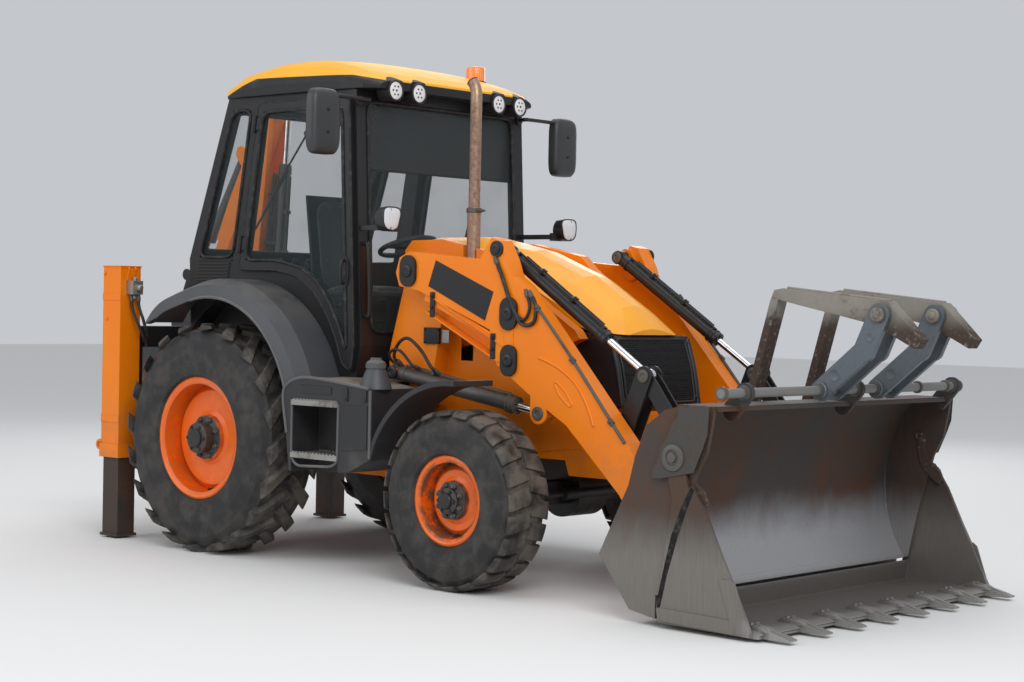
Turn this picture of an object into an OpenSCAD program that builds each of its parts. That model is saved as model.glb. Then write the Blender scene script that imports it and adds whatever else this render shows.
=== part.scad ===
// Backhoe loader, as it stands parked with the loader bucket just off the ground.
// Millimetres. +X points forward, +Y to the machine's left, +Z up. The tyres stand on Z = 0.
// Places along X are measured from the rear axle; at_origin() then puts the middle of the
// machine's whole length at X = 0.

/* [Wheels] */
// Distance between the front and rear axles
wheelbase = 2170; // [2100:10:2300]
// Outer radius of a rear tyre at its lugs
rear_tyre_r = 715; // [690:5:725]
// Width of a rear tyre
rear_tyre_w = 430; // [400:5:440]
// Distance from the middle plane to the middle of a rear tyre
rear_track_half = 885; // [880:5:900]
// Radius of the rear rim's bead seat
rear_bead_r = 356; // [330:2:370]
// Outer radius of a front tyre at its tread blocks
front_tyre_r = 500; // [480:5:505]
// Width of a front tyre
front_tyre_w = 340; // [320:5:345]
// Distance from the middle plane to the middle of a front tyre
front_track_half = 950; // [945:5:960]
// Radius of the front rim's bead seat
front_bead_r = 230; // [215:2:240]
// Distance from the middle plane to the king pin that the front wheel steers about
king_pin_y = 740; // [730:5:745]
// Height of the bars on the rear tyres
lug_h = 30; // [20:1:40]

/* [Chassis] */
// Distance from the middle plane to the outer face of a chassis rail
rail_y = 450; // [435:1:455]
// Thickness of a chassis rail plate
rail_t = 40; // [20:1:50]
// Front end of the chassis
nose_x = 2840; // [2800:5:2850]
// Radius of the eye for tying the machine down
tie_eye_r = 25; // [20:1:28]

/* [Loader] */
// Distance from the middle plane to the inner face of a loader arm
arm_in = 575; // [570:1:580]
// Width of a loader arm
arm_w = 110; // [100:1:115]
// Place of the arm's rear pivot along the machine
arm_pivot_x = 1440; // [1420:5:1450]
// Height of the arm's rear pivot
arm_pivot_z = 1770; // [1750:5:1780]
// Distance from the middle plane to the middle of a tilt ram
tilt_ram_y = 510; // [508:1:511]
// Half of the bucket's width
bucket_half = 1175; // [1150:5:1200]
// Thickness of the bucket's side plates
bucket_side_t = 20; // [15:1:22]
// How many teeth the bucket's edge carries
tooth_count = 8; // [6:1:9]

/* [Cab] */
// Half of the cab's width over its side walls
cab_half = 740; // [735:1:742]
// Thickness of the cab's walls
cab_wall = 45; // [35:1:50]
// Thickness of the glass
glass_t = 6; // [4:1:8]
// Thickness of a door
door_t = 35; // [30:1:38]

/* [Backhoe] */
// How far the backhoe stands left of the middle
hoe_y = 580; // [540:5:600]
// Place of the slew pin along the machine
slew_x = -1470; // [-1475:1:-1465]
// Width of the backhoe bucket
hoe_bucket_w = 480; // [400:10:500]
// Bore of the stabilizer's outer tube along the machine
stab_in_x = 160; // [150:1:165]

/* [Hidden] */

$fn = 64;
// Small overlap that lets a cut pass clean through a face
eps = 1;
// Gap between pieces that sit against each other
seat = 0.3;

ORANGE = [0.93, 0.42, 0.04];
BLACK = [0.06, 0.06, 0.07];
GREY = [0.22, 0.22, 0.23];
STEEL = [0.42, 0.40, 0.37];
CHROME = [0.80, 0.80, 0.82];
RUBBER = [0.10, 0.10, 0.10];
GLASS = [0.60, 0.75, 0.78, 0.35];

// The middle of the whole length: halfway between the forks' front and the backhoe bucket's back
fork_front = 4590;
hoe_back = -2440;
middle_x = (fork_front + hoe_back) / 2;

// General shapes

module at_origin() translate([-middle_x, 0, 0]) children();

module both() {
  children();
  mirror([0, 1, 0]) children();
}

// Stands a drawing made in X and Z up between two places across the machine
module side(y0, y1) translate([0, y1, 0]) rotate([90, 0, 0]) linear_extrude(height = y1 - y0) children();

// A bar with round ends, drawn between two points. Its sides are a little nearer together than
// the ends are wide, so that they cross the ends' circles cleanly.
module bar2d(p, q, w) {
  d = q - p;
  h = w - 1;
  translate(p) circle(d = w);
  translate(q) circle(d = w);
  translate(p) rotate(atan2(d[1], d[0])) translate([0, -h / 2]) square([norm(d), h]);
}

// A round pin across the machine at a point of X and Z
module pin(p, y0, y1, r) translate([p[0], y1, p[1]]) rotate([90, 0, 0]) cylinder(r = r, h = y1 - y0);

// A round rod between two points of X and Z, at one place across the machine
module rod(p, q, y, r) {
  d = q - p;
  translate([p[0], y, p[1]]) rotate([0, 90 - atan2(d[1], d[0]), 0]) cylinder(r = r, h = norm(d));
}

// The point a given length along the line from p to q
function along(p, q, s) = p + (q - p) * s / norm(q - p);

// A point turned about a centre, counter-clockwise with X to the right and Z up
function turned(p, c, a) = c + [
  (p[0] - c[0]) * cos(a) - (p[1] - c[1]) * sin(a),
  (p[0] - c[0]) * sin(a) + (p[1] - c[1]) * cos(a)
];

// A convex outline drawn in by a margin: each corner moves to where its two shifted sides meet
function shifted_line(p, q, m) =
  let (n = [-(q - p)[1], (q - p)[0]] / norm(q - p)) [p + n * m, q + n * m];
function crossing(a, b) =
  let (u = a[1] - a[0], v = b[1] - b[0], w = b[0] - a[0], k = u[0] * v[1] - u[1] * v[0])
  a[0] + u * (w[0] * v[1] - w[1] * v[0]) / k;
function inset(pts, m) = let (n = len(pts)) [
  for (i = [0:n - 1])
    crossing(
      shifted_line(pts[(i + n - 1) % n], pts[i], m),
      shifted_line(pts[i], pts[(i + 1) % n], m)
    )
];

// Points of an arc about a centre
function arc(c, r, a0, a1, n) = [for (i = [0:n]) c + r * [cos(a0 + (a1 - a0) * i / n), sin(a0 + (a1 - a0) * i / n)]];

// Wheels

rear_hub = [0, rear_tyre_r];
front_hub = [wheelbase, front_tyre_r];
// Height of the rims' flanges
rear_lip = 24;
front_lip = 20;

// A tyre's carcass about the Z axis, its outer face up: width, outer radius, bead radius, and the
// height of the rim's flange, which its beads clear
module carcass(w, r, bead, lip) {
  h = w / 2;
  shoulder = 0.1 * r;
  rotate_extrude($fn = 96) polygon([
    [bead + seat, -h + 58.4], [bead + lip, -h + 30.4], [bead + lip + 12, -h + 10], [bead + 0.5 * (r - bead), -h], [r - shoulder, -h + 14],
    [r - 12, -h + 48], [r, -h + 110], [r, h - 110], [r - 12, h - 48], [r - shoulder, h - 14],
    [bead + 0.5 * (r - bead), h], [bead + lip + 12, h - 10], [bead + lip, h - 30.4], [bead + seat, h - 58.4]
  ]);
}

// Slanted bars of a rear tyre, kept inside one ring over the tread and shoulders
module bars(w, r, lug, count) {
  lean = 42;
  intersection() {
    rotate_extrude($fn = 96) polygon([
      [r - lug - 30, -w / 2 + 8], [r - 40, -w / 2 + 6], [r - 8, -w / 2 + 26], [r, -w / 2 + 60],
      [r, w / 2 - 60], [r - 8, w / 2 - 26], [r - 40, w / 2 - 6], [r - lug - 30, w / 2 - 8]
    ]);
    union() {
      for (i = [0:count - 1])
        for (s = [-1, 1])
          rotate((i + (s > 0 ? 0.5 : 0)) * 360 / count)
            translate([r - lug - 30, 0, 0])
              rotate([s * lean, 0, 0])
                translate([0, 0, s > 0 ? -20 : -w])
                  linear_extrude(height = w + 20)
                    polygon([[0, -42], [26, -38], [lug + 30, -25], [lug + 60, -24], [lug + 60, 24], [lug + 30, 25], [26, 38], [0, 42]]);
    }
  }
}

// Blocks of a front tyre: rows across the tread, left and right rows staggered
module blocks(w, r, lug, count) {
  block_w = 0.72 * 2 * PI * r / count;
  intersection() {
    rotate_extrude($fn = 96) polygon([
      [r - lug - 20, -w / 2 + 12], [r - 22, -w / 2 + 10], [r - 4, -w / 2 + 34], [r, -w / 2 + 60],
      [r, w / 2 - 60], [r - 4, w / 2 - 34], [r - 22, w / 2 - 10], [r - lug - 20, w / 2 - 12]
    ]);
    union() {
      for (i = [0:count - 1])
        for (s = [-1, 1])
          rotate((i + (s > 0 ? 0.5 : 0)) * 360 / count)
            translate([r - lug - 20, 0, 0])
              rotate([s * 12, 0, 0])
                translate([0, -block_w / 2, s > 0 ? 9 : -w])
                  cube([lug + 50, block_w, w - 9]);
    }
  }
}

// Puts a wheel that was built about Z at its hub on the right-hand side, outer face outward
module right_wheel(hub, y) translate([hub[0], -y, hub[1]]) rotate([90, 0, 0]) children();

module rear_tyre() right_wheel(rear_hub, rear_track_half) {
  carcass(rear_tyre_w, rear_tyre_r - lug_h, rear_bead_r, rear_lip);
  bars(rear_tyre_w, rear_tyre_r, lug_h, 20);
}

// Height of a front tyre's blocks
block_h = 13;

module front_tyre() right_wheel(front_hub, front_track_half) {
  carcass(front_tyre_w, front_tyre_r - block_h, front_bead_r, front_lip);
  blocks(front_tyre_w, front_tyre_r, block_h, 24);
}

// A rim about Z: bead seat, flanges, and a dished disc that bolts to the hub
module rim(bead, w, lip, dish_z, hub_r, cap_r, cap_z, back_z) {
  wall = 12;
  h = w / 2 - 38;
  rotate_extrude($fn = 96) polygon([
    [0, back_z], [hub_r, back_z], [hub_r, dish_z - wall], [bead - 70, dish_z - wall],
    [bead - wall - 6, dish_z - 60], [bead - wall - 6, -h], [bead + lip - wall, -h - 14],
    [bead + lip, -h - 8], [bead, -h + 20], [bead, h - 20], [bead + lip, h + 8],
    [bead + lip - wall, h + 14], [bead - wall - 6, h], [bead - wall - 6, dish_z - 40],
    [bead - 62, dish_z], [hub_r + 30, dish_z], [hub_r + 4, dish_z + 14], [hub_r, dish_z + 40],
    [cap_r, dish_z + 52], [cap_r, cap_z - 10], [cap_r - 14, cap_z], [0, cap_z]
  ]);
}

module rear_rim() right_wheel(rear_hub, rear_track_half)
  rim(rear_bead_r, rear_tyre_w, rear_lip, 80, 140, 95, 205, -60);

module front_rim() right_wheel(front_hub, front_track_half)
  rim(front_bead_r, front_tyre_w, front_lip, 66, 104, 72, 150, -30);

module tyre_rear_right() at_origin() color(RUBBER) rear_tyre();
module tyre_rear_left() at_origin() color(RUBBER) mirror([0, 1, 0]) rear_tyre();
module tyre_front_right() at_origin() color(RUBBER) front_tyre();
module tyre_front_left() at_origin() color(RUBBER) mirror([0, 1, 0]) front_tyre();
module rim_rear_right() at_origin() color(ORANGE) rear_rim();
module rim_rear_left() at_origin() color(ORANGE) mirror([0, 1, 0]) rear_rim();
module rim_front_right() at_origin() color(ORANGE) front_rim();
module rim_front_left() at_origin() color(ORANGE) mirror([0, 1, 0]) front_rim();

// Chassis

rail_in = rail_y - rail_t;
// Rear end of the chassis rails, and the rear frame's face
rail_rear = -1050;
rear_face = -1200;
// Gap between a turning hub and the fixed part it faces
hub_gap = seat;
stub_end = rear_track_half - 60 - hub_gap;

module frame() at_origin() color(ORANGE) {
  both() side(rail_in, rail_y) difference() {
    polygon([
      [rail_rear, 620], [rail_rear, 1155], [-560, 1050], [-340, 1010], [1150, 1010], [1500, 1040], [nose_x - 40, 1020],
      [nose_x, 960], [nose_x, 630], [2500, 630], [2470, 715], [2040, 715], [1900, 620], [1500, 520],
      [420, 520], [330, 860], [-330, 860], [-420, 620]
    ]);
    translate([nose_x - 60, 690]) circle(r = tie_eye_r);
  }
  // Cross members between the rails: place along, low, high and length
  for (c = [
    [nose_x - 30, 640, 1000, 30], [1000, 520, 560 - seat, 60], [rail_rear, 640, 1150, 30], [-520, 640, 760, 50],
    [2480, 960, 1020 - seat, 60], [2700, 960, 1020 - seat, 60]
  ])
    translate([c[0], -rail_in, c[1]]) cube([c[3], 2 * rail_in, c[2] - c[1]]);
}

engine_half = 260;

// Engine block, gearbox and the shafts to both axles
module driveline() at_origin() color(GREY) {
  translate([1560, -engine_half, 780]) cube([840, 2 * engine_half, 690]);
  translate([900, -230, 560]) cube([660, 460, 480]);
  rod([250.7, 715], [900, 720], 0, 40);
  rod([1540, 640], [wheelbase - 150.6, front_tyre_r + 20], 0, 34);
  // Engine and gearbox feet on the rails
  both() for (x = [960, 1660, 2250])
    translate([x, 200, 860]) cube([90, rail_in - seat - 200, 60]);
}

module rear_axle() at_origin() color(GREY) {
  translate([rear_hub[0], 0, rear_hub[1]]) rotate([90, 0, 0]) rotate_extrude() polygon([
    [0, -stub_end], [95, -stub_end], [95, -560], [75, -520], [82, -300], [140, -190], [165, -60],
    [165, 60], [140, 190], [82, 300], [75, 520], [95, 560], [95, stub_end], [0, stub_end]
  ]);
  rod([120, 715], [250, 715], 0, 70);
  both() translate([-90, rail_in - 10, 780]) cube([180, rail_t + 20, 80]);
}

axle_end_y = king_pin_y - 70;

module front_axle() at_origin() color(ORANGE) {
  z = front_tyre_r;
  side(-130, 130) translate([wheelbase, z]) circle(r = 150);
  both() difference() {
    side(0, axle_end_y) translate([wheelbase - 60, z - 65]) square([120, 130]);
    translate([wheelbase, 700, z]) cube([130, 20, 400], center = true);
  }
  // Pivot block up to the chassis and forks around the king pins
  translate([wheelbase - 110, -rail_y, z + 100]) cube([220, 2 * rail_y, 715 - seat - z - 100]);
  both() for (s = [-1, 1])
    translate([wheelbase, 0, z + s * 105 - 20]) difference() {
      union() {
        translate([-55, axle_end_y - 130, 0]) cube([110, king_pin_y - axle_end_y + 130, 40]);
        translate([0, king_pin_y, 0]) cylinder(r = 55, h = 40);
      }
      translate([0, king_pin_y, -eps]) cylinder(r = 20 + seat, h = 50);
    }
  both() for (s = [-1, 1])
    translate([wheelbase - 55, axle_end_y - 130, z + s * 85 - 25]) cube([110, 60, 50]);
  // Steering ram across the front of the axle
  pin([wheelbase + 130, z], -260, 260, 34);
  pin([wheelbase + 130, z], -480, 480, 16);
}

// Steering knuckle on the right: king pin trunnion and the stub that carries the wheel
knuckle_end = front_track_half - 30 - hub_gap;
module knuckle() {
  z = front_tyre_r;
  translate([wheelbase, -king_pin_y, z - 80]) cylinder(r = 50, h = 160);
  translate([wheelbase, -king_pin_y, z - 130]) cylinder(r = 20, h = 260);
  translate([wheelbase, -king_pin_y, z]) rotate([90, 0, 0]) cylinder(r = 72, h = knuckle_end - king_pin_y);
  translate([wheelbase, -king_pin_y - 15, z - 20]) cube([150, 40, 40]);
}
module knuckle_right() at_origin() color(GREY) knuckle();
module knuckle_left() at_origin() color(GREY) mirror([0, 1, 0]) knuckle();

// Loader

arm_a = [arm_pivot_x, arm_pivot_z];
arm_out = arm_in + arm_w;
lift_c = [1310, 1170];
lift_d = [2465, 985];
lift_y = arm_in + arm_w / 2;
tilt_u = [2070, 1885];
lever_q = [2950, 850];
lever_v = [3100, 1215];
hinge_p = [3300, 400];
link_e = hinge_p + lever_v - lever_q;
tower_out = arm_in - 10;

module tower_plates() both() {
  side(rail_y, rail_y + 5) polygon([
    [1150, 700], [1150, 1300], [1290, 1850], [1560, 1850], [1800, 1440], [2400, 1100], [nose_x - 60, 1020],
    [nose_x - 60, 780], [2500, 780], [1900, 700]
  ]);
  side(rail_y + 5, tower_out) {
    polygon([[1170, 980], [1170, 1300], [1330, 1850], [1545, 1850], [1600, 1500], [1500, 980]]);
  }
  pin(arm_a, tower_out, tower_out + 4, 90);
  pin(arm_a, tower_out, arm_out + 14, 32);
  pin(lift_c, tower_out, tower_out + 8, 55);
  pin(lift_c, tower_out, arm_out - 4, 30);
}

module towers() at_origin() color(ORANGE) {
  difference() {
    union() {
      cowls();
      tower_plates();
    }
    // Well for the exhaust on the right
    translate([exhaust_x, -exhaust_y, 1250]) cylinder(r = 60, h = 900);
    translate([exhaust_x - 50, -exhaust_y, 1370]) cube([100, 80, 120]);
  }
  both() pin(hood_pin, hood_half - 16, hood_half + 6, 12);
}

module arm2d() {
  polygon([
    [1330, 1760], [1360, 1850], [1440, 1885], [2000, 1838], [2090, 1960], [2150, 1945], [2215, 1830],
    [2250, 1740], [2330, 1690], [2500, 1510], [2960, 1010], [3100, 860], [3385, 420], [3360, 330],
    [3290, 315], [3215, 360], [3050, 580], [2670, 930], [2480, 1035], [2150, 1240], [2090, 1440],
    [1520, 1655], [1360, 1680]
  ]);
}

module loader_arms() at_origin() color(ORANGE) {
  both() difference() {
    side(arm_in, arm_out) arm2d();
    pin(arm_a, arm_in - eps, arm_out + eps, 33);
    pin(hinge_p, arm_in - eps, arm_out + eps, 31);
    side(arm_in + 17, arm_out - 17) translate(lift_d) circle(r = 150);
  }
  both() for (y = [arm_in, arm_out - 16])
    side(y, y + 16) difference() {
      bar2d(lift_d, lift_d + [0, 95], 120);
      translate(lift_d) circle(r = 24);
    }
  // Cross tube that ties the two arms
  pin([2985, 700], -arm_in, arm_in, 60);
  // Ears that hold the tilt rams, and the pins of the tipping levers
  both() side(arm_in - 17, arm_in) bar2d(tilt_u, [2110, 1800], 110);
  both() pin(tilt_u, tilt_ram_y - 38, arm_in, 22);
  both() pin(lever_q, tilt_ram_y - lever_out - 3, arm_in, 24);
  // Safety strut clipped under each arm
  both() for (y = [arm_in + 8, arm_out - 20])
    side(y, y + 12) polygon([[1560, 1600], [1570, 1640], [2110, 1420], [2100, 1380]]);
}

// A hydraulic barrel: eye at p, tube towards q, its length and its bore for the rod
module barrel(p, q, y, len, r, eye_w, pin_r) {
  difference() {
    union() {
      pin(p, y - eye_w / 2, y + eye_w / 2, r + 4);
      rod(along(p, q, 30), along(p, q, len), y, r);
      rod(along(p, q, len - 60), along(p, q, len + 8), y, r + 6);
    }
    pin(p, y - eye_w, y + eye_w, pin_r + 1);
    rod(along(p, q, 90), along(p, q, len + 20), y, rod_share * r + 1);
  }
}
rod_share = 0.55;

// The rod of a hydraulic ram: from inside the barrel to its eye at q
module ram_rod(p, q, y, inside, r, eye_w, eye_r, pin_r) {
  difference() {
    union() {
      rod(along(p, q, inside), along(p, q, norm(q - p) - eye_r + 8), y, rod_share * r);
      pin(q, y - eye_w / 2, y + eye_w / 2, eye_r);
    }
    pin(q, y - eye_w, y + eye_w, pin_r + 1);
  }
}

module lift_barrels() at_origin() color(GREY) both() barrel(lift_c, lift_d, lift_y, 960, 44, 60, 30);
module lift_rods() at_origin() color(CHROME) both() ram_rod(lift_c, lift_d, lift_y, 150, 44, 56, 40, 22);
module tilt_barrels() at_origin() color(BLACK) both() barrel(tilt_u, lever_v, tilt_ram_y, 880, 38, 60, 22);
module tilt_rods() at_origin() color(CHROME) both() ram_rod(tilt_u, lever_v, tilt_ram_y, 300, 38, 26, 40, 20);

// Thickness of the tipping levers and links, half the space between the links, and half the
// width over the levers
lever_t = 12;
link_in = 24;
lever_out = 50;

module tip_levers() at_origin() color(BLACK) both() {
  for (y = [tilt_ram_y - lever_out, tilt_ram_y + lever_out - lever_t])
    side(y, y + lever_t) difference() {
      bar2d(lever_q, lever_v, 110);
      translate(lever_q) circle(r = 25);
    }
  pin(lever_v, tilt_ram_y - lever_out, tilt_ram_y - link_in, 20);
  pin(lever_v, tilt_ram_y + link_in, tilt_ram_y + lever_out, 20);
}

module tip_links() at_origin() color(BLACK) both()
  for (y = [tilt_ram_y - link_in - lever_t, tilt_ram_y + link_in])
    side(y, y + lever_t) difference() {
      bar2d(lever_v, link_e, 90);
      translate(lever_v) circle(r = 21);
      translate(link_e) circle(r = 21);
    }

// Loader bucket

jaw_pin = [3780, 850];
bar_c = [4035, 1175];
back_in = bucket_half - 2 * bucket_side_t - 5;
back_out = bucket_half - bucket_side_t - 5;

// The mouldboard's curve, as an arc about a centre ahead of it, and its thickness
board_c = [4330, 600];
board_r = 760;
board_t = 16;
ear_t = 22;

module bucket() at_origin() color(STEEL) {
  both() side(back_in, back_out) polygon([
    [3300, 330], [3480, 690], [3520, 840], [3590, 1000], [3700, 1080], [3800, 1105], [4000, 1110],
    [3990, 1030], [3960, 880], [3900, 770], [3800, 420], [3748, 172], [3665, 158], [3665, 40], [3500, 70]
  ]);
  side(-back_in, back_in) {
    intersection() {
      translate(board_c) difference() {
        circle(r = board_r, $fn = 96);
        circle(r = board_r - board_t, $fn = 96);
      }
      translate([3400, 165]) square([660, 940]);
    }
    // Lip along the top, and the rear beam with the sill that the jaw closes against
    translate([3765, 1085]) square([245, 25]);
    polygon([[3520, 60], [3650, 55], [3665, 150], [3722, 166], [3704, 200], [3630, 175], [3520, 120]]);
  }
  both() for (y = [arm_in - 5 - ear_t, arm_out + 5])
    side(y, y + ear_t) difference() {
      polygon([
        [3240, 380], [3270, 335], [3330, 330], [3680, 290], [3680, 700], [3440, 700], [3390, 600], [3255, 450]
      ]);
      translate(board_c) circle(r = board_r - board_t / 2);
    }
  both() pin(hinge_p, arm_in - 5 - ear_t, arm_out + 5 + ear_t, 30);
  both() {
    side(tilt_ram_y - 14, tilt_ram_y + 14) difference() {
      bar2d(link_e, [3620, 700], 110);
      translate(board_c) circle(r = board_r - board_t / 2);
    }
    pin(link_e, tilt_ram_y - link_in - lever_t, tilt_ram_y + link_in + lever_t, 20);
  }
  both() pin(jaw_pin, back_out - eps, bucket_half + 6, 28);
  // Brackets that hold the fork bar, and the bar
  for (k = [-0.82, 0.06, 0.94])
    side(k * back_out - 12, k * back_out + 12) bar2d([3960, 1085], bar_c, 100);
  pin(bar_c, -back_out, back_out, 24);
}

module bucket_jaw() at_origin() color(STEEL) {
  both() side(bucket_half - bucket_side_t, bucket_half) difference() {
    union() {
      bar2d(jaw_pin, [3830, 640], 110);
      polygon([
        [3775, 640], [3890, 720], [3980, 590], [4080, 390], [4140, 280], [4255, 45], [4255, 20], [3700, 40],
        [3690, 90], [3740, 420]
      ]);
    }
    translate(jaw_pin) circle(r = 29);
  }
  side(-bucket_half + bucket_side_t - eps, bucket_half - bucket_side_t + eps) {
    polygon([[3680, 30], [3700, 24], [4290, 16], [4300, 30], [4260, 44], [3700, 44]]);
    polygon([[3690, 44], [3720, 44], [3745, 150], [3725, 150]]);
  }
  for (i = [0:tooth_count - 1]) {
    y = -bucket_half + 95 + i * (2 * bucket_half - 190) / (tooth_count - 1);
    side(y - 32, y + 32) polygon([[4180, 44], [4200, 60], [4300, 54], [4440, 26], [4440, 18], [4280, 14], [4200, 16]]);
  }
}

// Fold-over forks on the bucket's bar

fork_ys = [-200, 350];
fork_pin = [4370, 1570];
fork_w = 90;
fork_heel = [3745, 1665];

module fork_carriers() at_origin() color(GREY)
  for (y = fork_ys)
    for (s = [-1, 1]) {
      y0 = y + s * (fork_w / 2 + 20) - 14;
      side(y0, y0 + 28) difference() {
        union() {
          bar2d(bar_c, [4290, 1390], 110);
          bar2d([4290, 1390], fork_pin, 120);
        }
        translate(bar_c) circle(r = 25);
        translate(fork_pin) circle(r = 29);
      }
    }

module forks() at_origin() color(STEEL)
  for (y = fork_ys) {
    side(y - fork_w / 2, y + fork_w / 2) {
      polygon([
        [4560, 1405], [4590, 1450], [4400, 1640], [3770, 1700], [3715, 1690], [3690, 1630], [3430, 700],
        [3450, 690], [3475, 690], [3740, 1640], [4330, 1520]
      ]);
    }
    pin(fork_pin, y - fork_w / 2 - 40, y + fork_w / 2 + 40, 28);
  }

// Panels ahead of the cab

hood_half = 370;
hood_rear = 1150;
hood_pin = [1200, 1900];

// Cross-sections of the hood: place along, crown height, edge height, half width
hood_rows = [
  [hood_rear, 1995, 1925, hood_half], [1500, 1995, 1915, hood_half], [1900, 1915, 1790, hood_half],
  [2300, 1765, 1600, hood_half - 5], [2580, 1590, 1460, hood_half - 25], [2720, 1460, 1420, hood_half - 130]
];

module hood_slice(row, m) translate([row[0], 0, 0]) {
  x = row[0];
  rotate([90, 0, 90]) linear_extrude(height = 1) polygon(concat(
    [[-row[3] + m, row[2] - 220], [-row[3] + m, row[2] - m]],
    [for (a = [-60:20:60]) [(row[3] - 60) * sin(a) / sin(75), row[2] - m + (row[1] - row[2]) * (cos(a) - cos(75)) / (1 - cos(75))]],
    [[row[3] - m, row[2] - m], [row[3] - m, row[2] - 220]]
  ));
}

module hood() at_origin() color(ORANGE) difference() {
  hull() for (row = hood_rows) hood_slice(row, 0);
  translate([0, 0, -eps]) hull() for (row = hood_rows) hood_slice([row[0] - (row[0] > 2600 ? 25 : -12), row[1], row[2], row[3]], 14);
  pin(hood_pin, -hood_half - eps, hood_half + eps, 12 + seat);
  // Lower edge of the hood, level at the back and falling to the front
  side(-hood_half - 50, hood_half + 50) polygon([
    [1000, 1000], [3000, 1000], [2740, 1425], [2560, 1440], [2300, 1500], [1900, 1640], [1500, 1750], [1000, 1780]
  ]);
}

// Fixed panels on both sides of the hood
module cowls() both() side(hood_half + 5, rail_y) polygon([
  [1170, 1300], [1170, 1900], [1230, 1960], [1480, 1965], [1860, 1890], [1960, 1800], [2300, 1580],
  [2520, 1450], [2560, 1400], [2400, 1330], [1900, 1400], [1500, 1300]
]);

exhaust_x = 1705;
exhaust_y = 419;

module exhaust() at_origin() color(STEEL) {
  low = 1430;
  translate([exhaust_x, -exhaust_y, low]) cylinder(r = 40, h = 2150 - low);
  translate([exhaust_x, -exhaust_y, 2150]) cylinder(r = 34, h = 660);
  translate([exhaust_x - 120, -exhaust_y, 2810]) rotate([90, 0, 0]) rotate_extrude(angle = 42)
    translate([120, 0]) circle(r = 34);
  pin([exhaust_x, low], -exhaust_y, -engine_half, 40);
}

module grille() at_origin() color(BLACK) difference() {
  side(-hood_half + 6, hood_half - 6) polygon([
    [2480, 1020], [2480, 1440], [2700, 1420], [2760, 1250], [2800, 1020]
  ]);
  for (i = [0:7])
    translate([2700, -hood_half + 60, 1070 + i * 42]) cube([200, 2 * hood_half - 120, 22]);
}

// Steps, boxes, mudguards and fenders

box_in = tower_out + seat;
// The recess for the steps: its rear end, its length and its inner face
step_x = 900;
step_l = 400;
step_y = 880;

// Outer face and front end of the boxes; the mudguard stands against the front end
box_out = cab_half + 360;
box_front = wheelbase - 610;

module side_boxes() at_origin() color(BLACK) {
  both() difference() {
    side(box_in, box_out) polygon([
      [880, 580], [960, 560], [box_front - 170, 600], [box_front, 680], [box_front, 1085],
      [box_front - 110, 1100], [1130, 1130], [970, 1130], [850, 1090], [815, 1010], [850, 800]
    ]);
    // Recess for the two steps, and room for the lift ram, the cab and the fender's foot
    translate([step_x, step_y, 500]) cube([step_l, 300, 500]);
    translate([1340, box_in - eps, 1060]) cube([box_front - 1260, 140, 100]);
    translate([700, box_in - eps, cab_pts[0][1] - seat]) cube([430, cab_half + 2 * seat - box_in + eps, 100]);
    fender_at() rotate([0, 0, 11.5]) rotate_extrude(angle = 40, $fn = 128) fender2d(3);
    translate([rear_hub[0], 0, rear_hub[1]]) rotate([90, 0, 0]) cylinder(r = rear_tyre_r + 45, h = 3000, center = true);
  }
  both() translate([960, rail_y, 700]) cube([180, box_in - rail_y + eps, 200]);
  both() mudguard();
  // Filler neck with its cap, on the right-hand box
  translate([box_front - 60, -1000, 1080]) cylinder(r = 60, h = 55);
  translate([box_front - 60, -1000, 1135]) cylinder(r = 48, h = 95);
}

module steps() at_origin() color(CHROME) both() for (z = [662, 972])
  difference() {
    translate([step_x + seat, step_y + seat, z]) cube([step_l - 2 * seat, 230, 26]);
    for (i = [0:5]) translate([step_x + 35 + i * 60, step_y + 25, z - eps]) cube([30, 180, 40]);
  }

// Guard behind and over the front wheel: a band between two radii, from level to straight up
module mudguard() side(780, box_out) intersection() {
  difference() {
    translate(front_hub) circle(r = front_tyre_r + 160, $fn = 96);
    translate(front_hub) circle(r = front_tyre_r + 130, $fn = 96);
  }
  translate([front_hub[0] - 900, 680]) square([940, 900]);
}

fender_c = [100, 840];
fender_r = 870;
fender_in = cab_half + seat;

// Cross-section of the fender, grown by a margin: distance from the arch's centre, and distance
// from the cab outward
module fender2d(m = 0) polygon([
  [fender_r + m, -m], [fender_r + m, 230 + m], [fender_r - 40 + m, 330 + m], [fender_r - 120 - m, 352 + m],
  [fender_r - 120 - m, 342 - m], [fender_r - 50 - m, 320 - m], [fender_r - 12 - m, 226 - m], [fender_r - 12 - m, -m]
]);

// Brings a shape drawn about the arch's centre to its place beside the cab
module fender_at() translate([fender_c[0], fender_in, fender_c[1]]) rotate([90, 0, 0]) mirror([0, 0, 1]) children();

// The tail: a straight piece after the arch, then a tighter curve down to the tip
tail_l = 200;
tail_r = 450;

module fenders() at_origin() color(GREY) both() difference() {
  fender_at() {
    rotate([0, 0, 12]) rotate_extrude(angle = 94, $fn = 128) fender2d();
    // The straight piece stands proud of the arch by half a millimetre, and starts inside it
    rotate([0, 0, 106]) translate([0.5, -eps, 0]) rotate([-90, 0, 0]) mirror([0, 1, 0])
      linear_extrude(height = tail_l + eps) fender2d();
    rotate([0, 0, 106]) translate([fender_r - tail_r, tail_l, 0])
      rotate([0, 0, -0.3]) rotate_extrude(angle = 42, $fn = 128) translate([tail_r - fender_r, 0]) fender2d();
  }
  // The lip runs out towards the tip
  side(fender_in - 5, fender_in + 400) polygon([[35, 1580], [-660, 1385], [-660, 1100], [35, 1100]]);
}

// Cab

// Outline of the cab from the side, counter-clockwise from its rear foot
cab_pts = [[-460, 1100], [1060, 1100], [1100, 1320], [1020, 2860], [-150, 2860], [-520, 1840], [-500, 1450]];
arch_r = 800;
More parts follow.
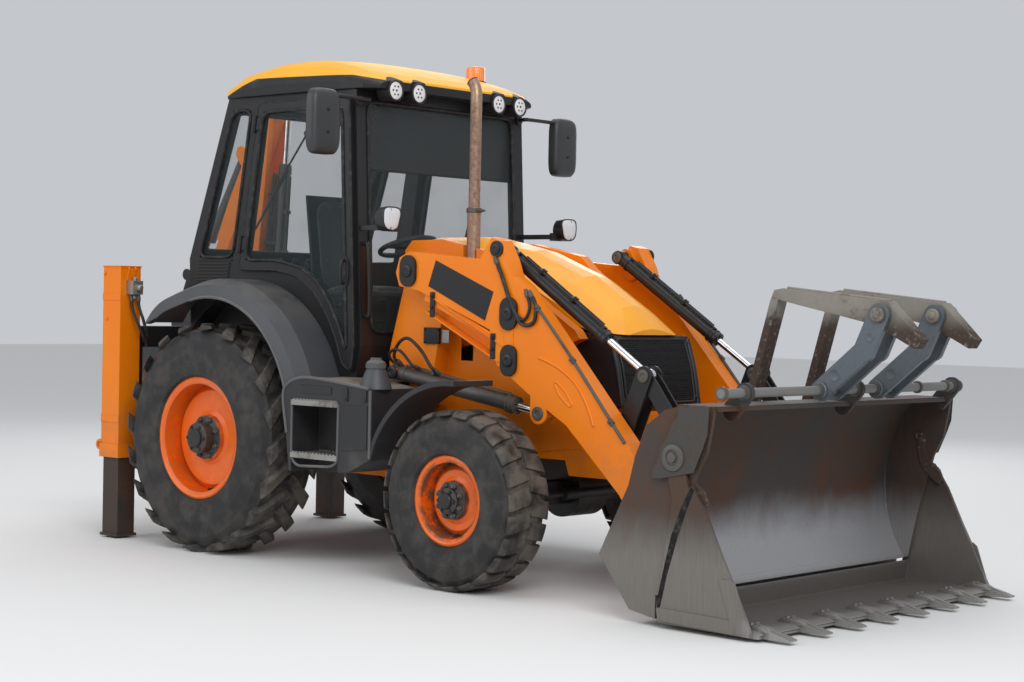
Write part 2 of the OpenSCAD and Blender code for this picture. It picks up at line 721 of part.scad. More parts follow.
// Door outline, and the slanting line of its hinges
door_pts = [
  [10, 1770], [350, 1770], [550, 1735], [700, 1650], [820, 1520], [915, 1360], [970, 1210], [1045, 1160],
  [1070, 1320], [992, 2815], [175, 2815]
];
door_glass_pts = [
  [75, 1830], [360, 1830], [590, 1790], [750, 1700], [870, 1560], [960, 1400], [1000, 1300], [1012, 1330],
  [938, 2755], [225, 2755]
];
quarter_pts = [[-420, 1850], [-90, 1850], [70, 2780], [-110, 2780]];
hinge_low = [0, 1770];
hinge_high = [175, 2860];
wind_z = [1400, 2790];
wind_half = 650;
rear_z = [1900, 2780];

// The cab's front or rear face as a strip: two points on it, how deep it starts and ends
module strip(p, q, d0, d1) {
  a = shifted_line(p, q, d0);
  b = shifted_line(p, q, d1);
  polygon([a[0], a[1], b[1], b[0]]);
}

// A pane behind a strip of a face, cut level at its top and foot
module pane(p, q, z) intersection() {
  strip(p, q, 10, 10 + glass_t);
  translate([-1000, z[0] + seat]) square([3000, z[1] - z[0] - 2 * seat]);
}

// Point of a face at a height
function at_height(p, q, z) = p + (q - p) * (z - p[1]) / (q[1] - p[1]);

module cab_frame() at_origin() color(BLACK) {
  difference() {
    side(-cab_half, cab_half) polygon(cab_pts);
    side(-cab_half + cab_wall, cab_half - cab_wall) polygon(inset(cab_pts, cab_wall));
    // Door openings, a little inside the doors, and the quarter windows
    side(-cab_half - eps, cab_half + eps) {
      polygon(inset(door_pts, 22));
      polygon(quarter_pts);
    }
    // Windscreen and rear window
    translate([1000, -wind_half, wind_z[0]]) cube([200, 2 * wind_half, wind_z[1] - wind_z[0]]);
    translate([-600, -wind_half, rear_z[0]]) cube([560, 2 * wind_half, rear_z[1] - rear_z[0]]);
    for (s = [-1, 1])
      pin(fender_c, s > 0 ? 600 : -cab_half - eps, s > 0 ? cab_half + eps : -600, arch_r);
  }
  // Wheel tubs that close the cab over the rear wheels
  both() intersection() {
    side(580, cab_half) polygon(cab_pts);
    difference() {
      pin(fender_c, 580, cab_half, arch_r + 20);
      pin(fender_c, 600, cab_half + eps, arch_r);
    }
  }
  // Rubber mounts on the chassis rails
  both() for (x = [-300, 900]) translate([x, 430, 1010]) cylinder(r = 30, h = 90);
}

// Cross-sections of the roof: place along, top in the middle, half width
roof_rows = [
  [-235, 2905, 660], [-160, 2975, 745], [0, 3050, 770], [250, 3092, 772], [500, 3098, 772], [735, 3075, 772],
  [905, 3032, 772], [1080, 2972, 745], [1165, 2925, 680]
];
roof_low = 2860 + seat;
// Share of the half width, and share of the height that the crown reaches there
crown = [[0, 1], [0.35, 0.99], [0.65, 0.95], [0.82, 0.87], [0.93, 0.7], [0.985, 0.45], [1, 0.25], [1, 0]];

module roof_slice(row) translate([row[0], 0, 0]) rotate([90, 0, 90]) linear_extrude(height = 1)
  polygon(concat(
    [for (c = crown) [row[2] * c[0], roof_low + (row[1] - roof_low) * c[1]]],
    [for (i = [len(crown) - 1:-1:1]) [-row[2] * crown[i][0], roof_low + (row[1] - roof_low) * crown[i][1]]]
  ));

// Lamps under the roof's front edge, and the beacon on its far side
lamp_r = 62;
lamp_z = 2855;
lamp_ys = [-560, -360, 360, 560];
beacon = [780, 560, 3020];
beacon_r = 60;

module roof() at_origin() color(ORANGE) difference() {
  hull() for (row = roof_rows) roof_slice(row);
  for (y = lamp_ys)
    translate([1060, y, lamp_z]) rotate([0, 90, 0]) cylinder(r = lamp_r + seat, h = 200);
  translate(beacon) cylinder(r = beacon_r + seat, h = 200);
}

module lamps() at_origin() color(BLACK) {
  for (y = lamp_ys)
    translate([1070, y, lamp_z]) rotate([0, 90, 0]) cylinder(r = lamp_r, h = 102);
  // Lamps on stalks at the front posts
  both() {
    translate([1330, cab_half + 60, 2070]) rotate([0, 90, 0]) cylinder(r = 70, h = 70);
    translate([at_height(cab_pts[2], cab_pts[3], 2010)[0] + seat, cab_half - 40, 2010]) cube([290, 30, 30]);
    translate([1330, cab_half - 40, 2000]) cube([24, 100, 50]);
  }
  translate(beacon + [0, 0, seat]) cylinder(r = beacon_r, h = 110);
}

module cab_glass() at_origin() color(GLASS) {
  side(-wind_half + seat, wind_half - seat) {
    pane(cab_pts[2], cab_pts[3], wind_z);
    pane(cab_pts[4], cab_pts[5], rear_z);
  }
  both() side(cab_half - 12 - glass_t, cab_half - 12) polygon(inset(quarter_pts, seat));
}

door_in = cab_half + seat;
door_out = door_in + door_t;
module door() side(door_in, door_out) difference() {
  polygon(door_pts);
  polygon(door_glass_pts);
}
module door_left() at_origin() color(BLACK) door();
module door_right() at_origin() color(BLACK) mirror([0, 1, 0]) door();
module door_pane() side(door_out - 10 - glass_t, door_out - 10) polygon(inset(door_glass_pts, seat));
module door_glass_left() at_origin() color(GLASS) door_pane();
module door_glass_right() at_origin() color(GLASS) mirror([0, 1, 0]) door_pane();

module seat_shape() {
  translate([150, -250, 1560]) cube([500, 500, 120]);
  translate([100, -240, 1660]) rotate([0, -8, 0]) cube([110, 480, 620]);
  translate([250, -150, 1145 + seat]) cube([300, 300, 415]);
}
module seat_assembly() at_origin() color(GREY) seat_shape();

module console() at_origin() color(BLACK) {
  translate([870, -300, 1145 + seat]) cube([140, 600, 480]);
  rod([900, 1500], [747, 1942], 0, 35);
  translate([745, 0, 1940]) rotate([0, -18, 0]) rotate_extrude() translate([180, 0]) circle(r = 16, $fn = 24);
  translate([745, 0, 1940]) rotate([0, -18, 0]) translate([-20, -175, -12]) cube([40, 350, 20]);
  translate([-405, -450, 1145 + seat]) cube([130, 900, 420]);
}

module mirrors() at_origin() color(BLACK) both() {
  translate([1080, 1000, 2480]) cube([45, 160, 300]);
  pin([1105, 2790], 708, 1080, 12);
  translate([1105, 1080, 2700]) cylinder(r = 12, h = 100);
  rod([at_height(cab_pts[2], cab_pts[3], 2778)[0] + seat, 2790], [1105, 2790], 720, 12);
}

// Rear frame, stabilizers

stab_x = -955;
stab_y = 950;
stab_wall = 12;
stab_w = 160;

module rear_frame() at_origin() color(BLACK) {
  for (z = [[450, 600], [1250, 1390]])
    translate([rear_face, -860, z[0]]) cube([150, 1720, z[1] - z[0]]);
  both() translate([rear_face, 700, 600]) cube([150, 160, 650]);
  // Webs against the rails, and side plates that carry the stabilizers
  both() translate([rear_face, rail_in, 600 - eps]) cube([rail_rear - rear_face - seat, rail_t, 650 + 2 * eps]);
  both() translate([rear_face, 820, 450]) cube([300, stab_y - stab_w / 2 - seat - 820, 940]);
}

module stab_housings() at_origin() color(ORANGE) both() difference() {
  union() {
    translate([stab_x - stab_in_x / 2 - stab_wall, stab_y - stab_w / 2, 550])
      cube([stab_in_x + 2 * stab_wall, stab_w, 1230]);
    // Collar round the foot
    translate([stab_x - stab_in_x / 2 - stab_wall - 8, stab_y - stab_w / 2, 530])
      cube([stab_in_x + 2 * stab_wall + 16, stab_w + 8, 90]);
  }
  translate([stab_x - stab_in_x / 2, stab_y - stab_w / 2 + stab_wall, 529])
    cube([stab_in_x, stab_w - 2 * stab_wall, 1230]);
}

module stab_leg() {
  gap = seat;
  translate([stab_x - stab_in_x / 2 + gap, stab_y - stab_w / 2 + stab_wall + gap, 30])
    cube([stab_in_x - 2 * gap, stab_w - 2 * stab_wall - 2 * gap, 1150]);
  translate([stab_x - 90, stab_y - 80, 12]) cube([180, 160, 18]);
}
module stab_leg_left() at_origin() color(GREY) stab_leg();
module stab_leg_right() at_origin() color(GREY) mirror([0, 1, 0]) stab_leg();

// Backhoe, in the plane Y = hoe_y

// Pins: boom foot, boom head, boom ram foot and eye, bucket, dipper ram foot and eye
boom_b = [-1690, 830];
boom_t = [-1230, 2880];
ram_k = [-1900, 640];
ram_m = [-1480, 1740];
dip_b = [-2030, 1430];
dip_k = [-1150, 1650];
dip_m = [-1060, 3040];

// Places on the dipper: how far down from the boom head, and how far out behind its centre line
function on_dipper(s, t) =
  let (u = (boom_t - dip_b) / norm(boom_t - dip_b))
  boom_t - s * u + t * [-u[1], u[0]];
dip_len = norm(boom_t - dip_b);
crowd_k = on_dipper(340, 150);
lever_pin = on_dipper(dip_len - 300, 30);
// The bucket hangs turned from the way it is drawn, about its pin
bucket_turn = -15;
bucket_link = turned(dip_b + [-170, 10], dip_b, bucket_turn);
crowd_m = lever_pin + bucket_link - dip_b;

module hoe() translate([0, hoe_y, 0]) children();

lug_z = [560, 1050];
lug_t = 50;
lug_r = 75;
plate_t = 60;

module carriage() at_origin() hoe() color(BLACK) {
  translate([rear_face - plate_t - seat, -250, 420]) cube([plate_t, 500, 1000]);
  for (z = lug_z)
    difference() {
      union() {
        translate([slew_x, 0, z]) cylinder(r = lug_r, h = lug_t);
        translate([slew_x, -lug_r, z]) cube([rear_face - plate_t - slew_x, 2 * lug_r, lug_t]);
      }
      translate([slew_x, 0, z - eps]) cylinder(r = 41, h = lug_t + 10);
    }
}

cheek_in = 105;
cheek_t = 35;

module kingpost() at_origin() hoe() color(ORANGE) {
  translate([slew_x, 0, lug_z[0] - 10]) cylinder(r = 40, h = lug_z[1] - lug_z[0] + lug_t + 20);
  translate([slew_x, 0, lug_z[0] + lug_t + seat]) cylinder(r = 52, h = lug_z[1] - lug_z[0] - lug_t - 2 * seat);
  for (y = [-cheek_in - cheek_t, cheek_in])
    side(y, y + cheek_t) polygon([
      [-1460, 640], [-1460, lug_z[1] - 6], [-1600, lug_z[1] - 6], [-1750, 910], [-1960, 700], [-1965, 610], [-1900, 580],
      [-1800, 590], [-1560, 640]
    ]);
  translate([-1512, -cheek_in, 640]) cube([52, 2 * cheek_in, lug_z[1] - 6 - 640]);
  translate([-1820, -cheek_in, 640]) cube([320, 2 * cheek_in, 30]);
  pin(boom_b, -cheek_in - cheek_t - 10, cheek_in + cheek_t + 10, 30);
  pin(ram_k, -cheek_in - cheek_t, cheek_in + cheek_t, 27);
}

boom_half = 100;
fork_in = 62;

module boom() at_origin() hoe() color(ORANGE) {
  difference() {
    side(-boom_half, boom_half) {
      translate(boom_b) circle(r = 72);
      polygon([
        [-1742, 885], [-1500, 1500], [-1440, 1760], [-1335, 2500], [-1315, 2880], [-1230, 2965], [-1150, 2900],
        [-1200, 2400], [-1260, 1900], [-1290, 1620], [-1360, 1400], [-1500, 1190], [-1562, 1130], [-1568, 1000], [-1620, 780]
      ]);
    }
    pin(boom_b, -boom_half - eps, boom_half + eps, 31);
    // Slot at the head for the dipper, and room for the boom ram's eye
    side(-fork_in, fork_in) translate([-1480, 2505]) square([500, 500]);
    side(-42, 42) translate(ram_m) circle(r = 106);
  }
  // Ears for the boom ram's eye and for the dipper ram's foot
  for (y = [-75, 45])
    side(y, y + 30) {
      bar2d(ram_m, [-1390, 1770], 100);
      bar2d(dip_k, [-1320, 1640], 100);
    }
  pin(dip_k, -75, 75, 24);
  pin(boom_t, -boom_half - 4, boom_half + 4, 28);
}

dip_half = 55;
// Half the dipper's width where the links pass
dip_in = 36;

module dipper() at_origin() hoe() color(ORANGE) {
  difference() {
    side(-dip_half, dip_half) {
      bar2d(boom_t, dip_m, 110);
      polygon([
        on_dipper(-70, 10), on_dipper(60, 90), on_dipper(700, 90), on_dipper(dip_len - 260, 40),
        on_dipper(dip_len, 55), on_dipper(dip_len + 40, 20), on_dipper(dip_len + 30, -45),
        on_dipper(dip_len - 60, -58), on_dipper(900, -75), on_dipper(250, -70), on_dipper(0, -62)
      ]);
      translate(dip_b) circle(r = 60);
      translate(lever_pin) circle(r = 48);
    }
    pin(boom_t, -dip_half - eps, dip_half + eps, 29);
    pin(dip_b, -dip_half - eps, dip_half + eps, 26);
    // Slot for the dipper ram's eye, and flats that the bucket's links pass
    side(-32, 32) translate(dip_m) circle(r = 125);
    for (y = [-dip_half - eps, dip_in])
      side(y, y + dip_half - dip_in + eps) {
        bar2d(dip_b, on_dipper(dip_len - 520, 20), 260);
        translate(dip_b) circle(r = 129.5);
      }
  }
  for (y = [-dip_half, dip_half - 14])
    side(y, y + 14) bar2d(crowd_k, on_dipper(380, 60), 100);
  pin(crowd_k, -dip_half, dip_half, 24);
  pin(lever_pin, -104, 104, 22);
}

w_half = hoe_bucket_w / 2;

module hoe_bucket() at_origin() hoe() color(STEEL) translate([dip_b[0], 0, dip_b[1]])
  rotate([0, -bucket_turn, 0]) {
    c = [-50, -440];
    heel = concat([[-105, -130]], arc(c, 290, 118, 250, 10), [[100, -800]]);
    inner = concat([[105, -786]], [for (i = [0:10]) arc(c, 276, 250, 118, 10)[i]], [[-97, -146]]);
    side(-w_half, w_half) polygon(concat(heel, inner));
    for (y = [-w_half, w_half - 16])
      side(y, y + 16) polygon(concat(heel, [[60, -600], [0, -200]]));
    for (y = [-95, 65])
      side(y, y + 30) difference() {
        polygon([
          [-170, -170], [-235, 0], [-200, 55], [-140, 45], [30, 65], [60, 30], [50, -60], [-20, -190]
        ]);
        translate([-170, 10]) circle(r = 23);
      }
    side(-95, 95) polygon([[-170, -170], [-185, -130], [-95, -110], [-90, -125]]);
    pin([0, 0], -99, 99, 25);
    for (i = [0:3]) {
      y = -w_half + 40 + i * (2 * w_half - 80) / 3;
      side(y - 25, y + 25) polygon([[0, -778], [5, -752], [215, -828], [210, -838], [100, -806]]);
    }
  }

// Lever and links between the dipper, the crowd ram and the bucket
module hoe_lever() at_origin() hoe() color(BLACK) for (s = [-1, 1]) {
  y = s > 0 ? 82 : -100;
  side(y, y + 18) difference() {
    bar2d(lever_pin, crowd_m, 84);
    translate(lever_pin) circle(r = 23);
  }
  pin(crowd_m, s > 0 ? 38 : -100, s > 0 ? 100 : -38, 20);
}

module hoe_link() at_origin() hoe() color(BLACK) {
  for (y = [-60, 42])
    side(y, y + 18) difference() {
      bar2d(crowd_m, bucket_link, 60);
      translate(crowd_m) circle(r = 21);
    }
  pin(bucket_link, -95, 95, 22);
}

module boom_barrel() at_origin() hoe() color(GREY) barrel(ram_k, ram_m, 0, 630, 46, 80, 27);
module boom_rod() at_origin() hoe() color(CHROME) ram_rod(ram_k, ram_m, 0, 430, 46, 70, 46, 24);
module dipper_barrel() at_origin() hoe() color(GREY) barrel(dip_k, dip_m, 0, 900, 40, 60, 24);
module dipper_rod() at_origin() hoe() color(CHROME) ram_rod(dip_k, dip_m, 0, 490, 40, 50, 42, 22);
module crowd_barrel() at_origin() hoe() color(GREY) barrel(crowd_k, crowd_m, 0, 740, 36, 56, 24);
module crowd_rod() at_origin() hoe() color(CHROME) ram_rod(crowd_k, crowd_m, 0, 320, 36, 50, 38, 20);

frame();
driveline();
rear_axle();
front_axle();
towers();
grille();
exhaust();
side_boxes();
steps();
fenders();
cab_frame();
roof();
lamps();
cab_glass();
seat_assembly();  // seat
console();
mirrors();
rear_frame();
stab_housings();
hood();
door_left();
door_right();
door_glass_left();
door_glass_right();
tyre_rear_left();
tyre_rear_right();
tyre_front_left();
tyre_front_right();
rim_rear_left();
rim_rear_right();
rim_front_left();
rim_front_right();
knuckle_left();
knuckle_right();
loader_arms();
lift_barrels();
lift_rods();
tilt_barrels();
tilt_rods();
tip_levers();
tip_links();
bucket();
bucket_jaw();
fork_carriers();
forks();
stab_leg_left();
stab_leg_right();
carriage();
kingpost();
boom();
boom_barrel();
boom_rod();
dipper();
dipper_barrel();
dipper_rod();
hoe_bucket();
hoe_link();
hoe_lever();
crowd_barrel();
crowd_rod();
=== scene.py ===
# %% [markdown]
# # A backhoe loader, dressed over its CAD solids
# The machine stands parked, its loader bucket just off the ground and its backhoe folded behind.
# The CAD model comes in as a fixed frame. This script gives every solid a finish and adds the
# small things that a drawing of solids leaves out: hoses, pipes, bolts, lamps, seals and trim.
# Everything is in metres, +X forward, +Y to the machine's left and +Z up.

# %% Load the frame
import bpy, bmesh, math
from mathutils import Matrix, Vector


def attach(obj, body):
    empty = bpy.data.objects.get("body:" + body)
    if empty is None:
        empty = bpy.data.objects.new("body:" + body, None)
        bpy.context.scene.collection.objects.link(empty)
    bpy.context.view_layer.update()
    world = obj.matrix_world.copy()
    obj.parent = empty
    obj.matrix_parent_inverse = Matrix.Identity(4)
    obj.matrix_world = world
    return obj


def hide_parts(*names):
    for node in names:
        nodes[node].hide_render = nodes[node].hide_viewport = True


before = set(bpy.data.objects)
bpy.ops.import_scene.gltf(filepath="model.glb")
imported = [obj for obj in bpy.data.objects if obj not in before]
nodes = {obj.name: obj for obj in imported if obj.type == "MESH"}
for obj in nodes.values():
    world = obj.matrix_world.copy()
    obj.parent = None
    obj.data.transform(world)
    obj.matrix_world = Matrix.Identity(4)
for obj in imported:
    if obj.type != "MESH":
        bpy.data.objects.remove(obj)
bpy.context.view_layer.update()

# %% [markdown]
# ## Where things are
# The drawing measures along the machine from the rear axle, and the frame puts the middle of the
# whole length at zero. One shift joins the two, so places below can be read off the drawing.

# %% Places in the drawing's terms
SHIFT = 1.075


def at(x, y, z):
    """A place given in millimetres from the rear axle, as a point of the frame in metres."""
    return Vector((x / 1000 - SHIFT, y / 1000, z / 1000))


REAR_HUB = at(0, 0, 715)
FRONT_HUB = at(2170, 0, 500)
SIDES = ((-1, "right"), (1, "left"))
print("rear hub", REAR_HUB[:], "front hub", FRONT_HUB[:])

# %% [markdown]
# Pins are where things turn, so many small pieces sit on them. They are named once, as places along
# and up. The faces are how far out the arms, boxes and doors stand from the machine's middle.

# %% Pins and faces
LIFT_FOOT, LIFT_EYE = (1310, 1170), (2465, 985)
TILT_FOOT, LEVER_PIN = (2070, 1885), (3100, 1215)
BUCKET_HINGE, FORK_BAR, FORK_PIN = (3300, 400), (4035, 1175), (4370, 1570)
BOOM_FOOT, BOOM_HEAD, DIPPER_END = (-1690, 830), (-1230, 2880), (-2030, 1430)
BOOM_RAM_FOOT, BOOM_RAM_EYE = (-1900, 640), (-1480, 1740)
DIPPER_RAM_FOOT, DIPPER_RAM_EYE = (-1150, 1650), (-1060, 3040)
LIFT_Y, TILT_Y, HOE_Y = 630, 510, 580
ARM_FACE, BOX_FACE, DOOR_FACE = 684, 1098, 775
print("arms' outer face", ARM_FACE, "mm and boxes' outer face", BOX_FACE, "mm from the middle")

# %% [markdown]
# ## Camera
# The photograph was taken from the front right at about head height. The camera below was fitted to
# the wheels, so the two pictures can be laid over each other. Three angles give its direction, and
# the focal length is known in pixels of the photograph, so the lens follows from the photo's width.

# %% Camera
PHOTO_WIDTH, FOCAL_PIXELS, SENSOR = 1024.0, 1970.06, 36.0
turn, tilt, roll = math.radians(41.8), math.radians(-1.0643), math.radians(1.171)
look = Vector((-math.sin(turn) * math.cos(tilt), math.cos(turn) * math.cos(tilt), math.sin(tilt)))
right = Vector((math.cos(turn), math.sin(turn), 0))
up = right.cross(look)
right, up = (
    math.cos(roll) * right + math.sin(roll) * up,
    math.cos(roll) * up - math.sin(roll) * right,
)
eye = at(9615, -8909, 1586)
lens = bpy.data.cameras.new("camera")
lens.sensor_width, lens.clip_end = SENSOR, 200.0
lens.lens = FOCAL_PIXELS * SENSOR / PHOTO_WIDTH
camera = bpy.data.objects.new("camera", lens)
camera.matrix_world = Matrix((
    (right.x, up.x, -look.x, eye.x),
    (right.y, up.y, -look.y, eye.y),
    (right.z, up.z, -look.z, eye.z),
    (0, 0, 0, 1),
))
bpy.context.scene.collection.objects.link(camera)
bpy.context.scene.camera = camera
print("lens", round(lens.lens, 2), "mm")

# %% [markdown]
# ## Shader maths as Python
# A material is easier to read as a formula than as a drawing of nodes. `Wire` wraps one output of a
# node. Adding or multiplying two wires adds the Math node that does it, and the reflected forms let
# a plain number come first, as in `1 - mask`. Colours go through Mix nodes, since a Math node would
# turn them grey.

# %% The Wire class
class Wire:
    """One node output whose arithmetic adds Math nodes."""

    def __init__(self, tree, socket):
        self.tree, self.socket = tree, socket

    def math(self, operation, *values):
        return add_node(self.tree, "ShaderNodeMath", {"operation": operation}, values).out(0)

    def __add__(self, other): return self.math("ADD", self, other)
    def __radd__(self, other): return self.math("ADD", other, self)
    def __sub__(self, other): return self.math("SUBTRACT", self, other)
    def __rsub__(self, other): return self.math("SUBTRACT", other, self)
    def __mul__(self, other): return self.math("MULTIPLY", self, other)
    def __rmul__(self, other): return self.math("MULTIPLY", other, self)
    def __truediv__(self, other): return self.math("DIVIDE", self, other)
    def __rtruediv__(self, other): return self.math("DIVIDE", other, self)
    def __pow__(self, other): return self.math("POWER", self, other)

    def least(self, other): return self.math("MINIMUM", self, other)
    def most(self, other): return self.math("MAXIMUM", self, other)
    def sine(self): return self.math("SINE", self)

    def step(self, low, high):
        """Smooth mask: 0 below low and 1 above high, or the other way round if high is lower."""
        kind = {"interpolation_type": "SMOOTHSTEP"}
        if low <= high:
            return add_node(self.tree, "ShaderNodeMapRange", kind, {0: self, 1: low, 2: high}).out(0)
        return 1 - self.step(high, low)


class Made:
    """A node that was added, with its outputs as wires."""

    def __init__(self, tree, node):
        self.tree, self.node = tree, node

    def out(self, name):
        return Wire(self.tree, self.node.outputs[name])


def add_node(tree, kind, settings=None, values=None):
    """Adds a node: settings first, then values or links for its inputs, by name or by number."""
    node = tree.nodes.new(kind)
    for key, value in (settings or {}).items():
        setattr(node, key, value)
    pairs = values.items() if isinstance(values, dict) else enumerate(values or ())
    for key, value in pairs:
        if isinstance(value, Wire):
            tree.links.new(value.socket, node.inputs[key])
        else:
            node.inputs[key].default_value = value
    return Made(tree, node)


# %% [markdown]
# ## A bench for mixing finishes
# Each finish starts on a `Bench`: a new material with its Principled shader, the position on the
# object as three wires, and a few patterns that every finish here needs. Noise in object space has no
# seams and no need for unwrapping, and it stays fixed to the piece when the piece moves.

# %% The Bench class
class Bench:
    """A material under construction."""

    def __init__(self, name, **constant):
        self.material = bpy.data.materials.new(name)
        self.material.use_nodes = True
        self.tree = self.material.node_tree
        self.shader = self.tree.nodes["Principled BSDF"]
        self.place = add_node(self.tree, "ShaderNodeTexCoord").out("Object")
        parts = add_node(self.tree, "ShaderNodeSeparateXYZ", None, [self.place])
        self.x, self.y, self.z = parts.out("X"), parts.out("Y"), parts.out("Z")
        for key, value in constant.items():
            self.set(key.replace("_", " "), value)

    def set(self, name, value):
        socket = self.shader.inputs[name]
        if isinstance(value, Wire):
            self.tree.links.new(value.socket, socket)
        elif name == "Base Color":
            socket.default_value = (*value, 1.0)
        else:
            socket.default_value = value

    def stretched(self, stretch):
        inputs = {"Vector": self.place, "Scale": stretch}
        return add_node(self.tree, "ShaderNodeMapping", None, inputs).out(0)

    def noise(self, scale, detail=3.0, rough=0.55, stretch=(1, 1, 1), twist=0.0):
        inputs = {"Vector": self.stretched(stretch), "Scale": scale, "Detail": detail, "Roughness": rough,
                  "Distortion": twist}
        return add_node(self.tree, "ShaderNodeTexNoise", None, inputs).out(0)

    def cells(self, scale):
        inputs = {"Vector": self.stretched((1, 1, 1)), "Scale": scale}
        return add_node(self.tree, "ShaderNodeTexVoronoi", {"feature": "F1"}, inputs).out(0)

    def mix(self, mask, first, second):
        """Colour: first where the mask is 0 and second where it is 1."""
        first, second = (c if isinstance(c, Wire) else (*c, 1.0) for c in (first, second))
        made = add_node(self.tree, "ShaderNodeMix", {"data_type": "RGBA"}, {0: mask, 6: first, 7: second})
        return made.out(2)

    def radius(self, hub):
        """Distance from an axle along Y through a hub."""
        dx, dz = self.x - hub.x, self.z - hub.z
        return (dx * dx + dz * dz) ** 0.5

    def upward(self):
        """How much the surface faces the sky, from 0 to 1."""
        normal = add_node(self.tree, "ShaderNodeNewGeometry").out("Normal")
        return add_node(self.tree, "ShaderNodeSeparateXYZ", None, [normal]).out("Z").most(0.0)

    def rounded(self, radius):
        """The normal, softened over sharp edges so that they catch the light."""
        return add_node(self.tree, "ShaderNodeBevel", {"samples": 4}, {"Radius": radius}).out(0)

    def edges(self, radius):
        """A mask of the sharp edges: where the softened normal leaves the true one."""
        true = add_node(self.tree, "ShaderNodeNewGeometry").out("Normal")
        dot = add_node(self.tree, "ShaderNodeVectorMath", {"operation": "DOT_PRODUCT"},
                       [self.rounded(radius), true])
        return (1 - dot.out("Value")).step(0.01, 0.12)

    def relief(self, height, distance, strength=1.0, soft=None):
        inputs = {"Height": height, "Distance": distance, "Strength": strength}
        if soft is not None:
            inputs["Normal"] = soft
        self.set("Normal", add_node(self.tree, "ShaderNodeBump", None, inputs).out(0))


print("bench ready")

# %% [markdown]
# ## Paint
# The machine is painted a strong orange. The roof's cap and the whole hood wear a lighter yellow copy
# of it, a painted highlight for their sunlit tops. Real paint is never one value. It has a fine
# orange-peel ripple in its clear coat,
# thin dust that gathers on upward faces and low down near the wheels, and chips along sharp edges
# that show dark primer. All of that is worked out from position, so every panel differs.

# %% Painted panels
def paint(name, base, faded, dust=0.35, chips=0.5, soil=(0.23, 0.15, 0.09)):
    b = Bench(name, Roughness=0.34, Coat_Weight=0.12, Coat_Roughness=0.15, Specular_IOR_Level=0.32)
    clouds = b.noise(1.6, 4.0)
    colour = b.mix(clouds.step(0.35, 0.7) * 0.5, base, faded)
    low = b.z.step(1.15, 0.25)
    grime = b.noise(9.0, 6.0, 0.65)
    dirt = (low * grime.step(0.35, 0.7) * 0.8 + b.upward() * grime.step(0.45, 0.75) * dust).least(1.0)
    colour = b.mix(dirt * 0.6, colour, soil)
    edge = b.edges(0.004)
    worn = edge * b.noise(38.0, 4.0, 0.6).step(0.56, 0.66) * chips
    colour = b.mix(worn, colour, (0.05, 0.045, 0.04))
    b.set("Base Color", colour)
    b.set("Roughness", 0.30 + dirt * 0.45 + clouds * 0.08)
    b.relief(b.noise(420.0, 1.0), 0.0004, 0.25, b.rounded(0.005))
    return b.material


ORANGE = paint("orange_paint", (0.86, 0.205, 0.002), (0.90, 0.275, 0.003))
# The hood's yellow is a lighter copy of the orange: painted highlight for its sunlit top.
SUNLIT_HOOD_PAINT = paint("sunlit_paint", (0.92, 0.36, 0.010), (0.94, 0.44, 0.02), 0.15, 0.2)
SATIN_BLACK = paint("satin_black", (0.014, 0.014, 0.015), (0.022, 0.022, 0.023), 0.3, 0.0,
                    (0.060, 0.052, 0.044))
print("paints:", ORANGE.name, SUNLIT_HOOD_PAINT.name, SATIN_BLACK.name)

# %% [markdown]
# The roof is one moulding in two colours: a cap painted a lighter yellow than the body's orange, a
# painted highlight for its sunlit top, and a black band under it that widens round the lamps. The
# border is a formula, the lower of three straight lines in the side view, with a ring of black about
# each lamp. That keeps the edge crisp without any unwrapping.

# %% The two-tone roof
ROOF_EDGE = [((-144, 2882), (124, 2970)), ((124, 2970), (980, 2945)), ((980, 2945), (1255, 2895))]


def roof_paint():
    b = Bench("roof_paint", Coat_Weight=0.06, Coat_Roughness=0.3, Specular_IOR_Level=0.3)
    border = None
    for (x0, z0), (x1, z1) in ROOF_EDGE:
        rise = (z1 - z0) / (x1 - x0)
        line = (b.x + SHIFT) * rise + (z0 - rise * x0) / 1000
        border = line if border is None else border.least(line)
    yellow = (b.z - border).step(-0.002, 0.002)
    for y in (-0.56, -0.36, 0.36, 0.56):
        dy, dz = b.y - y, b.z - 2.855
        ring = ((dy * dy + dz * dz) ** 0.5).step(0.084, 0.088)
        yellow = yellow * (1 - (1 - ring) * (b.x + SHIFT).step(1.0, 1.02))
    cloud = b.noise(1.6, 4.0)
    # The cap's yellow is a lighter copy of the body's orange: painted highlight for its sunlit top.
    sun = b.mix(cloud.step(0.35, 0.7) * 0.5, (0.93, 0.44, 0.025), (0.95, 0.52, 0.05))
    dust = b.upward() * b.noise(6.0, 6.0, 0.65).step(0.45, 0.75) * 0.22
    b.set("Base Color", b.mix(dust, b.mix(yellow, (0.014, 0.014, 0.015), sun), (0.35, 0.28, 0.20)))
    b.set("Roughness", 0.42 + dust * 0.5 + cloud * 0.08)
    b.relief(b.noise(420.0, 1.0), 0.0004, 0.25, b.rounded(0.008))
    return b.material


ROOF_PAINT = roof_paint()
print("roof:", ROOF_PAINT.name)

# %% [markdown]
# ## Moulded plastic
# Fenders, step boxes and the dark covers are textured plastic: nearly black, with a fine leathery
# grain that keeps highlights broad. Boots and weather leave pale dust on the flat tops.

# %% Plastics
def plastic(name, base, rough, dust):
    b = Bench(name, Specular_IOR_Level=0.45)
    blotch = b.noise(5.0, 5.0, 0.6)
    top = b.upward().step(0.55, 0.95) * blotch.step(0.30, 0.62) * dust
    low = b.z.step(0.95, 0.30) * blotch.step(0.4, 0.7) * 0.35
    dirt = (top + low).least(1.0)
    b.set("Base Color", b.mix(dirt, b.mix(blotch, base, [c * 1.35 for c in base]), (0.27, 0.24, 0.20)))
    b.set("Roughness", rough + dirt * 0.3 + blotch * 0.08)
    grain = b.cells(900.0)
    b.relief(grain, 0.0003, 0.35, b.rounded(0.006))
    return b.material


